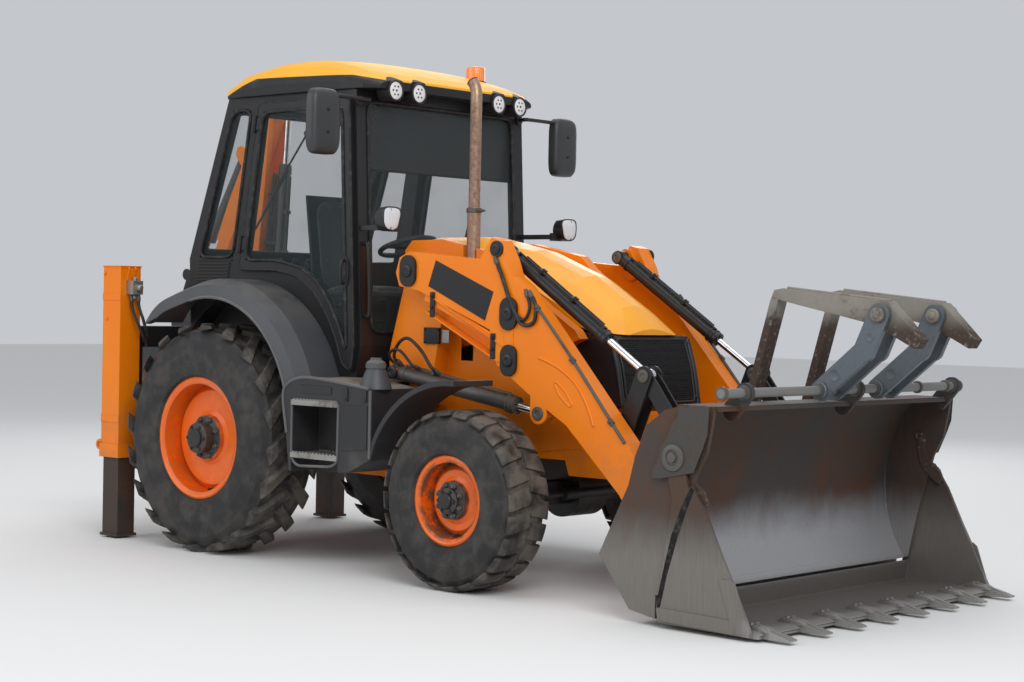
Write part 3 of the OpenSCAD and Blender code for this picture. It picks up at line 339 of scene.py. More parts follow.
GREY_PLASTIC = plastic("fender_plastic", (0.052, 0.055, 0.060), 0.42, 0.25)
BLACK_PLASTIC = plastic("box_plastic", (0.020, 0.020, 0.022), 0.50, 0.75)
TRIM_PLASTIC = plastic("trim_plastic", (0.014, 0.014, 0.015), 0.38, 0.15)
WORN_PLASTIC = plastic("worn_plastic", (0.085, 0.085, 0.086), 0.48, 0.9)
MIRROR_SHELL = plastic("mirror_shell", (0.030, 0.032, 0.034), 0.36, 0.2)
print("plastics:", GREY_PLASTIC.name, BLACK_PLASTIC.name, TRIM_PLASTIC.name)

# %% [markdown]
# ## Working steel
# One recipe gives most of the steels: a base colour, rust in patches, and how far the patches reach.
# Castings are dull under oil and dust, fork and leg steel is scuffed, and the stack is browned by
# heat. The hard chrome of the rams' rods is simpler, a bright metal under a thin film of oil.

# %% Steels
def steel(name, base, rust, rust_from, rust_to, rough=0.5, metal=0.75, streak=(1, 1, 1), below=None):
    b = Bench(name)
    patch = b.noise(3.2, 7.0, 0.62, streak, 0.4)
    fine = b.noise(46.0, 4.0, 0.6)
    mask = (patch * 0.75 + fine * 0.25).step(rust_from, rust_to)
    if below is not None:
        mask = (mask + b.z.step(below + 0.05, below - 0.08) * fine.step(0.25, 0.45)).least(1.0)
    colour = b.mix(fine, base, [c * 1.5 for c in base])
    b.set("Base Color", b.mix(mask, colour, b.mix(fine, rust, [c * 0.45 for c in rust])))
    b.set("Metallic", metal * (1 - mask))
    b.set("Roughness", rough + mask * 0.35 + fine * 0.1)
    b.relief(fine + mask * 0.5, 0.0012, 0.5, b.rounded(0.004))
    return b.material


CAST_GREY = steel("oily_cast_iron", (0.085, 0.08, 0.072), (0.10, 0.075, 0.05), 0.5, 0.7, 0.45, 0.45)
CARRIER_STEEL = steel("scuffed_blue_grey", (0.10, 0.115, 0.13), (0.20, 0.155, 0.12), 0.56, 0.72, 0.45, 0.6)
FORK_STEEL = steel("weathered_fork_steel", (0.20, 0.185, 0.16), (0.085, 0.055, 0.042), 0.52, 0.72, 0.6, 0.2,
                   below=1.56)
CHEEK_STEEL = steel("scaled_cheek_steel", (0.044, 0.040, 0.036), (0.105, 0.066, 0.038), 0.47, 0.62, 0.6,
                    0.15)
LEG_STEEL = steel("scoured_leg_steel", (0.045, 0.040, 0.036), (0.11, 0.050, 0.026), 0.42, 0.60, 0.5, 0.5,
                  (1, 1, 0.3))
# In the stack's mouth this dark steel is soot and also painted shade for the pipe's hollow.
SOOT_AND_HOLLOW_SHADE = steel("sooty_steel_and_hollow_shade", (0.022, 0.020, 0.019), (0.05, 0.035, 0.025), 0.5, 0.7, 0.7, 0.3)
EXHAUST_STEEL = steel("heated_exhaust_steel", (0.36, 0.24, 0.17), (0.22, 0.12, 0.08), 0.42, 0.62, 0.34,
                      0.85, (1, 1, 0.25))
ALUMINIUM = steel("step_aluminium", (0.27, 0.265, 0.25), (0.15, 0.12, 0.09), 0.48, 0.66, 0.42, 0.8)


def chrome():
    b = Bench("rod_chrome", Metallic=1.0)
    film = b.noise(14.0, 4.0, 0.6)
    b.set("Base Color", b.mix(film.step(0.5, 0.75), (0.80, 0.80, 0.82), (0.52, 0.48, 0.42)))
    b.set("Roughness", 0.12 + film.step(0.5, 0.8) * 0.22)
    return b.material


CHROME = chrome()
print("steels:", CAST_GREY.name, CARRIER_STEEL.name, FORK_STEEL.name, EXHAUST_STEEL.name, CHROME.name)

# %% [markdown]
# The bucket's plates change from top to bottom. Its upper third keeps dark mill scale with orange
# rust, the middle is matt brown, and the lowest part is ground bright by soil. Fine scratches run
# up and down, the way that soil slides.

# %% Bucket steel
def bucket_steel(name, low, high):
    b = Bench(name)
    patch = b.noise(2.4, 7.0, 0.65, (1, 1, 0.6), 0.6)
    fine = b.noise(60.0, 5.0, 0.65)
    scratch = b.noise(30.0, 4.0, 0.7, (6, 6, 0.25))
    height = b.z + (patch - 0.5) * 0.22
    bright = height.step(high, low)
    rust = (patch * 0.6 + fine * 0.4).step(0.44, 0.60) * (1 - bright * 0.8)
    dark = b.mix(scratch, (0.026, 0.022, 0.020), (0.075, 0.064, 0.055))
    colour = b.mix(rust, dark, b.mix(fine, (0.115, 0.046, 0.020), (0.055, 0.028, 0.018)))
    inside = b.z.step(0.12, 0.20) * (b.y * b.y).step(1.30, 1.25)
    shine = b.mix(scratch, (0.13, 0.118, 0.105), (0.25, 0.232, 0.21))
    shine = b.mix(inside, shine, b.mix(scratch, (0.30, 0.30, 0.31), (0.46, 0.46, 0.48)))
    colour = b.mix(bright, colour, shine)
    tooth = b.x.step(3.10, 3.22) * b.z.step(0.12, 0.09)
    colour = b.mix(tooth, colour, b.mix(scratch, (0.22, 0.21, 0.195), (0.42, 0.41, 0.39)))
    bar = b.radius(at(FORK_BAR[0], 0, FORK_BAR[1])).step(0.030, 0.026)
    bracket = b.z.step(1.112, 1.118) * (1 - bar) * (1 - bright)
    colour = b.mix(bracket, colour, b.mix(fine, (0.022, 0.023, 0.025), (0.055, 0.055, 0.056)))
    b.set("Base Color", b.mix(bar, colour, b.mix(scratch, (0.17, 0.168, 0.16), (0.26, 0.255, 0.245))))
    b.set("Metallic", (0.15 + bright * 0.35).most(bar * 0.5))
    b.set("Roughness", 0.62 - bright * 0.18 + scratch * 0.12)
    b.relief(fine + scratch * 0.6, 0.0012, 0.45, b.rounded(0.004))
    return b.material


BUCKET_STEEL = bucket_steel("bucket_steel", 0.32, 0.62)
HOE_STEEL = bucket_steel("hoe_bucket_steel", 0.75, 1.05)
print("bucket steel:", BUCKET_STEEL.name, HOE_STEEL.name)

# %% [markdown]
# ## Rubber
# A tyre's finish depends on how far it is from the hub: matt and dusty on the tread blocks that touch
# the road, darker and smoother on the side, with fine rings near the bead. The distance from the hub
# is two multiplications and a square root, so the rings are exact whatever the mesh is like.

# %% Waves and tyres
def waves(place, length):
    """A sine wave from -1 to 1 that repeats each length along a place."""
    return (place * 2 * math.pi / length).sine()


def tyre(name, hub, bead, outer):
    b = Bench(name, Specular_IOR_Level=0.35)
    r = b.radius(hub)
    blotch = b.noise(7.0, 6.0, 0.65)
    tread = r.step(outer - 0.075, outer - 0.005)
    dust = (tread * blotch.step(0.30, 0.62) * 0.75 + blotch.step(0.40, 0.70) * 0.38).least(1.0)
    b.set("Base Color", b.mix(dust, (0.017, 0.017, 0.018), (0.125, 0.110, 0.092)))
    b.set("Roughness", 0.52 + dust * 0.35)
    rings = waves(r, 0.011) * r.step(bead + 0.14, bead + 0.10)
    b.relief(rings * 0.35 + b.noise(130.0, 3.0) * 0.6, 0.0016, 0.6, b.rounded(0.006))
    return b.material


REAR_TYRE = tyre("rear_tyre_rubber", REAR_HUB, 0.356, 0.715)
FRONT_TYRE = tyre("front_tyre_rubber", FRONT_HUB, 0.230, 0.500)


def rubber(name, base, rough):
    b = Bench(name, Specular_IOR_Level=0.4)
    blotch = b.noise(26.0, 4.0, 0.6)
    b.set("Base Color", b.mix(blotch.step(0.45, 0.75) * 0.5, base, (0.10, 0.09, 0.08)))
    b.set("Roughness", rough + blotch * 0.12)
    b.relief(b.noise(500.0, 1.0), 0.0003, 0.4)
    return b.material


HOSE_RUBBER = rubber("hose_rubber", (0.014, 0.014, 0.015), 0.42)
# Also used for near-black discs that are painted shade for each hole in the fork carriers.
SEAL_RUBBER_AND_HOLE_SHADE = rubber("seal_rubber_and_hole_shade", (0.010, 0.010, 0.011), 0.55)
# A near-black sheet: painted shadow for the gap between the bucket's jaw and its back.
JAW_GAP_SHADE = rubber("painted_jaw_gap_shade", (0.006, 0.005, 0.005), 0.85)
print("rubber:", REAR_TYRE.name, FRONT_TYRE.name, HOSE_RUBBER.name)

# %% [markdown]
# ## Rims
# The rims wear a redder orange than the body, a painted shade that stands in for their deep dish, a
# rust ring runs where water stands at the bead, and the hub in the middle is black under grease.

# %% Rims
def rim_paint(name, hub, hub_r, ring_r, lip_r, ring_rust):
    b = Bench(name, Coat_Weight=0.2, Coat_Roughness=0.2)
    r = b.radius(hub)
    blotch = b.noise(11.0, 6.0, 0.65)
    # This redder orange is a shaded copy of the body's orange: painted shade for the deep dish.
    colour = b.mix(blotch.step(0.4, 0.7) * 0.5, (0.82, 0.125, 0.002), (0.88, 0.215, 0.003))
    ring = r.step(ring_r - 0.05, ring_r) * r.step(lip_r, lip_r - 0.02)
    rust = ring * blotch.step(0.36, 0.56) * ring_rust
    colour = b.mix(rust, colour, (0.10, 0.050, 0.028))
    hubs = (r + (blotch - 0.5) * 0.03).step(hub_r + 0.012, hub_r - 0.004)
    colour = b.mix(hubs, colour, b.mix(blotch, (0.018, 0.016, 0.015), (0.06, 0.052, 0.045)))
    b.set("Base Color", colour)
    b.set("Roughness", 0.38 + rust * 0.4 + hubs * 0.2)
    b.relief(b.noise(90.0, 4.0) * (rust + hubs + 0.1), 0.0018, 0.5, b.rounded(0.004))
    return b.material


REAR_RIM = rim_paint("rear_rim_paint", REAR_HUB, 0.135, 0.33, 0.36, 0.25)
FRONT_RIM = rim_paint("front_rim_paint", FRONT_HUB, 0.105, 0.205, 0.235, 0.85)
print("rims:", REAR_RIM.name, FRONT_RIM.name)

# %% [markdown]
# ## Glass, lamps and cloth
# Cab glass is tinted a cool green-grey. A thin pane in a frame is best made with transparency mixed
# in by angle: a real refraction would bend the inside of the cab twice for each pane and cost far
# more light paths. Lamp lenses are clear and ribbed, and the beacon is amber.

# %% Glass and lamps
def pane():
    b = Bench("cab_pane", Roughness=0.04, IOR=1.5)
    smear = b.noise(1.8, 4.0, 0.6)
    b.set("Base Color", (0.075, 0.105, 0.11))
    b.set("Alpha", 0.13 + smear.step(0.45, 0.8) * 0.05)
    b.material.surface_render_method = "BLENDED"
    return b.material


def lens_of(name, colour, rib):
    b = Bench(name, Roughness=0.12, Coat_Weight=0.8)
    ribs = waves(b.y, rib)
    # The lighter stripes along the ribs are painted highlight, where ribs would catch the light.
    b.set("Base Color", b.mix(ribs * 0.25 + 0.5, colour, [min(1, c * 1.3 + 0.06) for c in colour]))
    b.relief(ribs, 0.0012, 0.6)
    return b.material


PANE = pane()
SILVER_LENS = lens_of("reflector", (0.70, 0.70, 0.71), 0.009)
CLEAR_LENS = lens_of("clear_lens", (0.62, 0.63, 0.65), 0.012)
AMBER_LENS = lens_of("amber_lens", (0.90, 0.22, 0.02), 0.010)


def mirror_glass():
    b = Bench("mirror_glass", Metallic=1.0)
    smear = b.noise(9.0, 4.0, 0.6)
    b.set("Base Color", b.mix(smear, (0.72, 0.75, 0.76), (0.62, 0.64, 0.64)))
    b.set("Roughness", 0.04 + smear.step(0.55, 0.85) * 0.15)
    return b.material


MIRROR_GLASS = mirror_glass()


def cloth():
    b = Bench("seat_cloth", Roughness=0.85, Sheen_Weight=0.25)
    thread = 0.006
    weave = waves(b.y, thread) * waves(b.x, thread)
    b.set("Base Color", b.mix(weave * 0.5 + 0.5, (0.020, 0.020, 0.022), (0.050, 0.050, 0.054)))
    b.relief(weave, 0.0008, 0.7)
    return b.material


CLOTH = cloth()
print("glass:", PANE.name, CLEAR_LENS.name, AMBER_LENS.name, "cloth:", CLOTH.name)

# %% [markdown]
# ## Handing out the finishes
# Every CAD solid keeps its shape and gets a finish here. The table goes from finish to the solids
# that wear it, which is easier to check against the photograph than the other way round.

# %% Finishes on the solids
WEARS = {
    ORANGE: "frame towers loader_arms stab_housings kingpost boom dipper",
    SUNLIT_HOOD_PAINT: "hood",
    ROOF_PAINT: "roof",
    # The front axle's satin black is painted shade for the dark space under the machine.
    SATIN_BLACK: "cab_frame door_left door_right rear_frame carriage tilt_barrels tip_levers tip_links "
                 "front_axle hoe_lever hoe_link",
    GREY_PLASTIC: "fenders",
    BLACK_PLASTIC: "side_boxes",
    TRIM_PLASTIC: "grille console mirrors lamps",
    CAST_GREY: "driveline rear_axle knuckle_left knuckle_right lift_barrels boom_barrel dipper_barrel "
               "crowd_barrel",
    LEG_STEEL: "stab_leg_left stab_leg_right",
    BUCKET_STEEL: "bucket bucket_jaw",
    HOE_STEEL: "hoe_bucket",
    CARRIER_STEEL: "fork_carriers",
    FORK_STEEL: "forks",
    EXHAUST_STEEL: "exhaust",
    CHROME: "lift_rods tilt_rods boom_rod dipper_rod crowd_rod",
    ALUMINIUM: "steps",
    REAR_TYRE: "tyre_rear_left tyre_rear_right",
    FRONT_TYRE: "tyre_front_left tyre_front_right",
    REAR_RIM: "rim_rear_left rim_rear_right",
    FRONT_RIM: "rim_front_left rim_front_right",
    PANE: "cab_glass door_glass_left door_glass_right",
    CLOTH: "seat",
}
dressed = set()
for material, names in WEARS.items():
    for name in names.split():
        nodes[name].data.materials.clear()
        nodes[name].data.materials.append(material)
        dressed.add(name)
print("solids still bare:", sorted(set(nodes) - dressed))

# %% [markdown]
# ## Making pieces
# Small parts are made in mesh code, so each one is a few lines of numbers. Four makers cover nearly
# all of them: a plate cut from an outline, a tube that follows a path, a turned form, and a bolt.
# Pieces with square corners have their edges rounded as they are kept, because no real edge is sharp.

# %% Keeping a piece
made_count = 0


def keep(name, bm, material, body, soft=0.0, smooth=40, segments=2):
    """Turns a bmesh into a piece that rides on a body. soft is the width of its rounded edges."""
    global made_count
    if soft:
        sharp = [e for e in bm.edges if len(e.link_faces) == 2 and e.calc_face_angle(0) > math.radians(30)]
        bmesh.ops.bevel(bm, geom=sharp, offset=soft, segments=segments, affect="EDGES", clamp_overlap=True)
    bmesh.ops.recalc_face_normals(bm, faces=bm.faces)
    mesh = bpy.data.meshes.new(name)
    bm.to_mesh(mesh)
    bm.free()
    for face in mesh.polygons:
        face.use_smooth = True
    mesh.set_sharp_from_angle(angle=math.radians(smooth))
    piece = bpy.data.objects.new(name, mesh)
    piece.data.materials.append(material)
    bpy.context.scene.collection.objects.link(piece)
    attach(piece, body)
    made_count += 1
    return piece


# %% A plate cut from an outline
def plate(bm, outline, y0, y1):
    """Adds a plate: an outline of drawing places along and up, between two places across."""
    near = [bm.verts.new(at(x, y0, z)) for x, z in outline]
    far = [bm.verts.new(at(x, y1, z)) for x, z in outline]
    count = len(outline)
    bm.faces.new(near)
    bm.faces.new(far[::-1])
    for i in range(count):
        j = (i + 1) % count
        bm.faces.new((near[i], far[i], far[j], near[j]))


def disc(centre, radius, count=32, start=0.0, end=360.0):
    """Points of an arc in the drawing's side view."""
    full = end - start == 360.0
    steps = count if full else count - 1
    return [
        (centre[0] + radius * math.cos(math.radians(start + (end - start) * i / steps)),
         centre[1] + radius * math.sin(math.radians(start + (end - start) * i / steps)))
        for i in range(count)
    ]


# %% Rings and the bands between them
def ring(bm, centre, radius, side, other, sides):
    """Adds a circle of points about a centre, in the plane of two directions."""
    turns = [2 * math.pi * k / sides for k in range(sides)]
    return [bm.verts.new(centre + radius * (math.cos(t) * side + math.sin(t) * other)) for t in turns]


def bands(bm, rings):
    """Joins each ring to the next one with faces."""
    for low, high in zip(rings, rings[1:]):
        for k in range(len(low)):
            j = (k + 1) % len(low)
            bm.faces.new((low[k], low[j], high[j], high[k]))


def close_ends(bm, rings):
    """Closes the first and the last ring."""
    bm.faces.new(rings[0][::-1])
    bm.faces.new(rings[-1])


# %% A tube that follows a path
def smooth_path(points, per_span=8):
    """A curve through every point (Catmull-Rom), as a list of closer points."""
    points = [Vector(p) for p in points]
    if len(points) == 2:
        return points
    padded = [2 * points[0] - points[1], *points, 2 * points[-1] - points[-2]]
    path = []
    for i in range(1, len(padded) - 2):
        a, b, c, d = padded[i - 1:i + 3]
        for k in range(per_span):
            t = k / per_span
            path.append(0.5 * (2 * b + (c - a) * t + (2 * a - 5 * b + 4 * c - d) * t * t
                               + (3 * b - a - 3 * c + d) * t ** 3))
    return path + [points[-1]]


def tube(bm, points, radius, sides=12, per_span=8, closed=False):
    """Adds a round tube along a path. A closed one joins its end to its start, corner by corner."""
    path = [Vector(p) for p in points] if closed else smooth_path(points, per_span)
    count = len(path)
    ahead = (path[1] - path[0]).normalized()
    side = ahead.orthogonal().normalized()
    rings = []
    for i, point in enumerate(path):
        after, before = (path[(i + 1) % count], path[i - 1]) if closed else (
            path[min(i + 1, count - 1)], path[max(i - 1, 0)])
        new = (after - before).normalized()
        side = (ahead.rotation_difference(new) @ side).normalized()
        ahead = new
        rings.append(ring(bm, point, radius, side, ahead.cross(side), sides))
    if closed:
        bands(bm, rings + rings[:1])
    else:
        bands(bm, rings)
        close_ends(bm, rings)


def rounded_corners(points, radius, steps=4):
    """The corners of a closed outline, each one drawn as a short curve instead."""
    count = len(points)
    curve = []
    for i in range(count):
        corner = Vector(points[i])
        back, on = Vector(points[i - 1]) - corner, Vector(points[(i + 1) % count]) - corner
        reach = min(radius, back.length / 2.2, on.length / 2.2)
        start, end = corner + back.normalized() * reach, corner + on.normalized() * reach
        for k in range(steps + 1):
            t = k / steps
            curve.append(start * (1 - t) ** 2 + corner * 2 * t * (1 - t) + end * t ** 2)
    return curve


# %% A turned form
def lathe(bm, start, direction, profile, sides=32):
    """Adds a form turned about a line. profile is a list of (distance along, radius) in metres."""
    direction = Vector(direction).normalized()
    side = direction.orthogonal().normalized()
    other = direction.cross(side)
    rings = []
    for along, radius in profile:
        centre = Vector(start) + direction * along
        if radius < 1e-6:
            rings.append([bm.verts.new(centre)])
            continue
        rings.append(ring(bm, centre, radius, side, other, sides))
    for low, high in zip(rings, rings[1:]):
        for k in range(sides):
            j = (k + 1) % sides
            if len(low) == 1 and len(high) > 1:
                bm.faces.new((low[0], high[j], high[k]))
            elif len(high) == 1 and len(low) > 1:
                bm.faces.new((low[k], low[j], high[0]))
            elif len(low) > 1:
                bm.faces.new((low[k], low[j], high[j], high[k]))
    if len(rings[0]) > 1:
        bm.faces.new(rings[0][::-1])
    if len(rings[-1]) > 1:
        bm.faces.new(rings[-1])


# %% Bolts
def bolt(bm, spot, direction, size=0.012, head=0.009):
    """Adds a washer and a hexagon head on a face. direction points out of the face."""
    lathe(bm, spot, direction, [(0, size * 1.35), (0.002, size * 1.35)], 20)
    lathe(bm, Vector(spot) + Vector(direction).normalized() * 0.002, direction,
          [(0, size), (head * 0.85, size), (head, size * 0.86)], 6)


def fresh():
    return bmesh.new()


print("makers ready")

# %% [markdown]
# ## Wheels
# Each wheel is held by a ring of nuts on its hub, with a greased cap in the middle and an air valve
# near the rim's edge. The nuts are real geometry because they catch small highlights that show the
# wheel's size.

# %% Nuts, caps and valves
def wheel_fittings(side, body, hub, middle, seat, ring, nuts, cap, valve):
    """seat, cap and valve are (radius or distance, how far out), measured from the wheel's middle."""
    out = Vector((0, side, 0))
    bm = fresh()
    for k in range(nuts):
        turn = 2 * math.pi * (k + 0.5) / nuts
        spot = hub + Vector((ring * math.cos(turn), side * (middle + seat), ring * math.sin(turn)))
        bolt(bm, spot, out, 0.0165, 0.020)
        lathe(bm, spot, out, [(0.018, 0.0095), (0.030, 0.0095), (0.032, 0.007)], 12)
    keep(body.replace("wheel", "wheel_nuts"), bm, CAST_GREY, body, smooth=30)
    bm = fresh()
    start = hub + Vector((0, side * (middle + cap[1]), 0))
    lathe(bm, start, out,
          [(-0.004, cap[0] * 0.62), (0.010, cap[0] * 0.62), (0.016, cap[0] * 0.55), (0.019, 0)], 40)
    for k in range(6):
        turn = 2 * math.pi * k / 6
        spot = start + Vector((cap[0] * 0.8 * math.cos(turn), 0, cap[0] * 0.8 * math.sin(turn)))
        bolt(bm, spot - out * 0.001, out, 0.009, 0.007)
    spot = hub + Vector((0, side * (middle + valve[1]), -valve[0]))
    lathe(bm, spot, out, [(0, 0.007), (0.03, 0.006), (0.031, 0.0075), (0.045, 0.0075), (0.047, 0.005)], 12)
    keep(body.replace("wheel", "wheel_cap"), bm, SATIN_BLACK, body, smooth=30)


for side, word in SIDES:
    wheel_fittings(side, "rear_wheel_" + word, REAR_HUB, 0.885, 0.122, 0.118, 8, (0.095, 0.205),
                   (0.325, 0.05))
    wheel_fittings(side, "front_wheel_" + word, FRONT_HUB, 0.950, 0.109, 0.088, 8, (0.072, 0.150),
                   (0.195, 0.04))
print("wheel fittings made:", made_count)

# %% [markdown]
# ## Exhaust
# A plain steel stack in a clamp, and a dark disc inside its curved mouth that is soot and painted shade
# for the pipe's hollow. A thin lip turned back inside the mouth makes the pipe read as a pipe and not
# as a rod.

# %% Stack clamp and mouth
STACK = at(1705, -419, 2150)
bm = fresh()
lathe(bm, STACK - Vector((0, 0, 0.030)), (0, 0, 1),
      [(0, 0.041), (0, 0.046), (0.026, 0.046), (0.026, 0.041)], 40)
for swing in (-0.35, 0.35):
    spot = STACK + Vector((0.046 * math.cos(swing), -0.046 * math.sin(swing) - 0.004, -0.017))
    lathe(bm, spot, (math.cos(swing), -math.sin(swing), 0), [(0, 0.008), (0.022, 0.008), (0.024, 0.006)],
          12)
tube(bm, [STACK + Vector((0.058, -0.03, -0.017)), STACK + Vector((0.058, 0.03, -0.017))], 0.005, 10)
keep("stack_clamp", bm, CAST_GREY, "chassis", smooth=30)
bend = math.radians(42)
mouth = at(1705 - 120 + 120 * math.cos(bend), -419, 2810 + 120 * math.sin(bend))
out = Vector((-math.sin(bend), 0, math.cos(bend)))
bm = fresh()
# This disc closes the mouth: soot, and painted shade where the pipe's hollow would be dark.
lathe(bm, mouth, out, [(-0.002, 0.0345), (0.004, 0.0355), (0.006, 0.033), (0.0015, 0.0295), (0.0012, 0)],
      40)
keep("stack_mouth", bm, SOOT_AND_HOLLOW_SHADE, "chassis", smooth=30)
print("stack mouth at", [round(v, 3) for v in mouth])

# %% [markdown]
# ## Lamps
# The roof carries four round work lamps. Each has a black bezel, a domed silver reflector, and small
# dark emitters, one in the middle and five round it. The lamps on stalks are shield-shaped, with a
# clear face split in two by a bar, and an amber beacon stands on the left side of the roof.

# %% Roof lamps
faces, dots, rims = fresh(), fresh(), fresh()
for y in (-560, -360, 360, 560):
    front = at(1172, y, 2855)
    lathe(faces, front, (1, 0, 0), [(-0.002, 0.054), (0.003, 0.053), (0.008, 0.040), (0.010, 0)], 48)
    lathe(rims, front, (1, 0, 0),
          [(-0.030, 0.0622), (-0.030, 0.064), (0.006, 0.064), (0.009, 0.061), (0.008, 0.054),
                                   (0.001, 0.053)], 48)
    for k in range(6):
        spin = 2 * math.pi * k / 6
        place, deep = (0.027, 0.0072) if k else (0.0, 0.0094)
        spot = front + Vector((deep, place * math.cos(spin), place * math.sin(spin)))
        lathe(dots, spot, (1, 0, 0), [(0, 0.0075), (0.0016, 0.0068), (0.002, 0)], 16)
keep("roof_lamp_reflectors", faces, SILVER_LENS, "chassis", smooth=50)
keep("roof_lamp_emitters", dots, SEAL_RUBBER_AND_HOLE_SHADE, "chassis", smooth=50)
keep("roof_lamp_bezels", rims, TRIM_PLASTIC, "chassis", smooth=35)

# %% Lamps on stalks
SHIELD = [(-70, 34), (-62, 60), (-30, 68), (40, 68), (64, 56), (70, 20), (66, -30), (44, -58), (0, -68),
          (-46, -52)]


def shield(bm, front, side, stages):
    """A form along X through scaled copies of the shield outline. stages are (how far, scale)."""
    outline = rounded_corners([Vector((0, side * y / 1000, z / 1000)) for y, z in SHIELD], 0.02, 3)
    rings = [[bm.verts.new(front + Vector((far, 0, 0)) + p * scale) for p in outline] for far,
             scale in stages]
    bands(bm, rings)
    close_ends(bm, rings)


for side, word in SIDES:
    front = at(1400, side * 800, 2070)
    bm = fresh()
    shield(bm, front, side,
           [(-0.085, 0.35), (-0.080, 0.7), (-0.055, 1.0), (0.004, 1.08), (0.010, 1.06), (0.006, 0.98)])
    keep("stalk_lamp_shell_" + word, bm, TRIM_PLASTIC, "chassis", smooth=50)
    bm = fresh()
    shield(bm, front, side, [(-0.002, 0.97), (0.008, 0.96), (0.013, 0.85), (0.016, 0.5)])
    keep("stalk_lamp_lens_" + word, bm, CLEAR_LENS, "chassis", smooth=50)
    bm = fresh()
    plate(bm, [(1406, 2006), (1414, 2010), (1414, 2130), (1406, 2134)], side * 812, side * 817)
    keep("stalk_lamp_divide_" + word, bm, TRIM_PLASTIC, "chassis", 0.001)
BEACON = at(780, 560, 3020)
bm = fresh()
lathe(bm, BEACON, (0, 0, 1), [(0.002, 0.064), (0.002, 0.070), (0.018, 0.070), (0.022, 0.064)], 48)
keep("beacon_base", bm, TRIM_PLASTIC, "chassis", smooth=35)
bm = fresh()
lathe(bm, BEACON, (0, 0, 1),
      [(0.020, 0.0625), (0.098, 0.0625), (0.109, 0.0615), (0.1125, 0.057), (0.1145, 0.045),
                              (0.1155, 0)], 48)
keep("beacon_dome", bm, AMBER_LENS, "chassis", smooth=50)
print("lamps done:", made_count)

# %% [markdown]
# ## Mirrors
# A large mirror hangs from an arm at each front corner. Its shell is a rounded moulding that is
# deeper in the middle, with the glass let into the side that the driver sees.

# %% Mirror shells and glasses
def pillow(bm, middle, half_y, half_z, stages, power=4.0, count=40):
    """A form along X through superellipses, so its corners are round. stages are (how far, scale)."""
    def blunt(value, half):
        return math.copysign(abs(value) ** (2 / power), value) * half

    turns = [2 * math.pi * (k + 0.5) / count for k in range(count)]
    outline = [(blunt(math.cos(a), half_y), blunt(math.sin(a), half_z)) for a in turns]
    rings = [[bm.verts.new(middle + Vector((far, y * scale, z * scale))) for y, z in outline]
             for far, scale in stages]
    bands(bm, rings)
    close_ends(bm, rings)


for side, word in SIDES:
    middle = at(1080, side * 1078, 2632)
    bm = fresh()
    pillow(bm, middle, 0.112, 0.192,
           [(0.004, 0.93), (-0.006, 0.96), (-0.006, 1.0), (0.036, 1.0), (0.054, 0.93),
                                      (0.063, 0.78), (0.067, 0.5)], 5.0)
    keep("mirror_shell_" + word, bm, MIRROR_SHELL, "chassis", smooth=50)
    bm = fresh()
    pillow(bm, middle, 0.112, 0.192, [(0.006, 0.91), (-0.003, 0.91), (-0.004, 0.89)], 5.0)
    keep("mirror_glass_" + word, bm, MIRROR_GLASS, "chassis", smooth=50)
    bm = fresh()
    for z in (2570, 2700):
        bolt(bm, at(1146, side * 1080, z), (1, 0, 0), 0.008, 0.006)
        lathe(bm, at(1105, side * 1080, z - 12), (0, 0, 1), [(0, 0.017), (0.024, 0.017)], 24)
    tube(bm, [at(1105, side * 1080, 2800), at(1105, side * 1080, 2560)], 0.012, 14, 1)
    tube(bm, [at(1062, side * 706, 2790), at(1105, side * 730, 2790), at(1105, side * 1060, 2790),
              at(1105, side * 1080, 2780), at(1105, side * 1080, 2740)], 0.0125, 14, 6)
    lathe(bm, at(1026, side * 720, 2790), (1, 0, 0), [(0, 0.03), (0.008, 0.03), (0.012, 0.02)], 24)
    keep("mirror_arm_" + word, bm, SATIN_BLACK, "chassis", smooth=40)
print("mirrors done:", made_count)

# %% [markdown]
# ## Cab trim
# Black rubber seals frame every pane, and they matter to the look: a thin soft line between glass and
# painted steel. Doors also carry hinge covers on their slanted rear edge, an oval pull handle, and the
# cab's side has a louvred panel under the rear quarter window.

# %% Seals round the panes
DOOR_GLASS = [(75, 1830), (360, 1830), (590, 1790), (750, 1700), (870, 1560), (960, 1400), (1000, 1300),
              (1012, 1330), (938, 2755), (225, 2755)]
DOOR_EDGE = [(10, 1770), (350, 1770), (550, 1735), (700, 1650), (820, 1520), (915, 1360), (970, 1210),
             (1045, 1160), (1070, 1320), (992, 2815), (175, 2815)]
QUARTER = [(-420, 1850), (-90, 1850), (70, 2780), (-110, 2780)]


def seal(name, corners, body, radius=0.011, bend=0.07):
    bm = fresh()
    tube(bm, rounded_corners(corners, bend), radius, 8, closed=True)
    keep(name, bm, SEAL_RUBBER_AND_HOLE_SHADE, body, smooth=60)


def front_face(z):
    """How far forward the cab's sloping front stands at a height."""
    return 1100 - 80 * (z - 1320) / 1540


def rear_face(z):
    return -150 - 370 * (2860 - z) / 1020


for side, word in SIDES:
    seal("door_seal_" + word, [at(x, side * 777, z) for x, z in DOOR_GLASS], "door_" + word)
    seal("door_edge_" + word, [at(x, side * 770, z) for x, z in DOOR_EDGE], "door_" + word, 0.009, 0.05)
    seal("quarter_seal_" + word, [at(x, side * 741, z) for x, z in QUARTER], "chassis")
for name, face, heights, lean in (("screen_seal", front_face, (1400, 2790), 2),
                                  ("rear_seal", rear_face, (1900, 2780), -2)):
    low, high = heights
    seal(name, [at(face(low) + lean, -650, low), at(face(low) + lean, 650, low),
                at(face(high) + lean, 650, high),
                at(face(high) + lean, -650, high)], "chassis", 0.012)

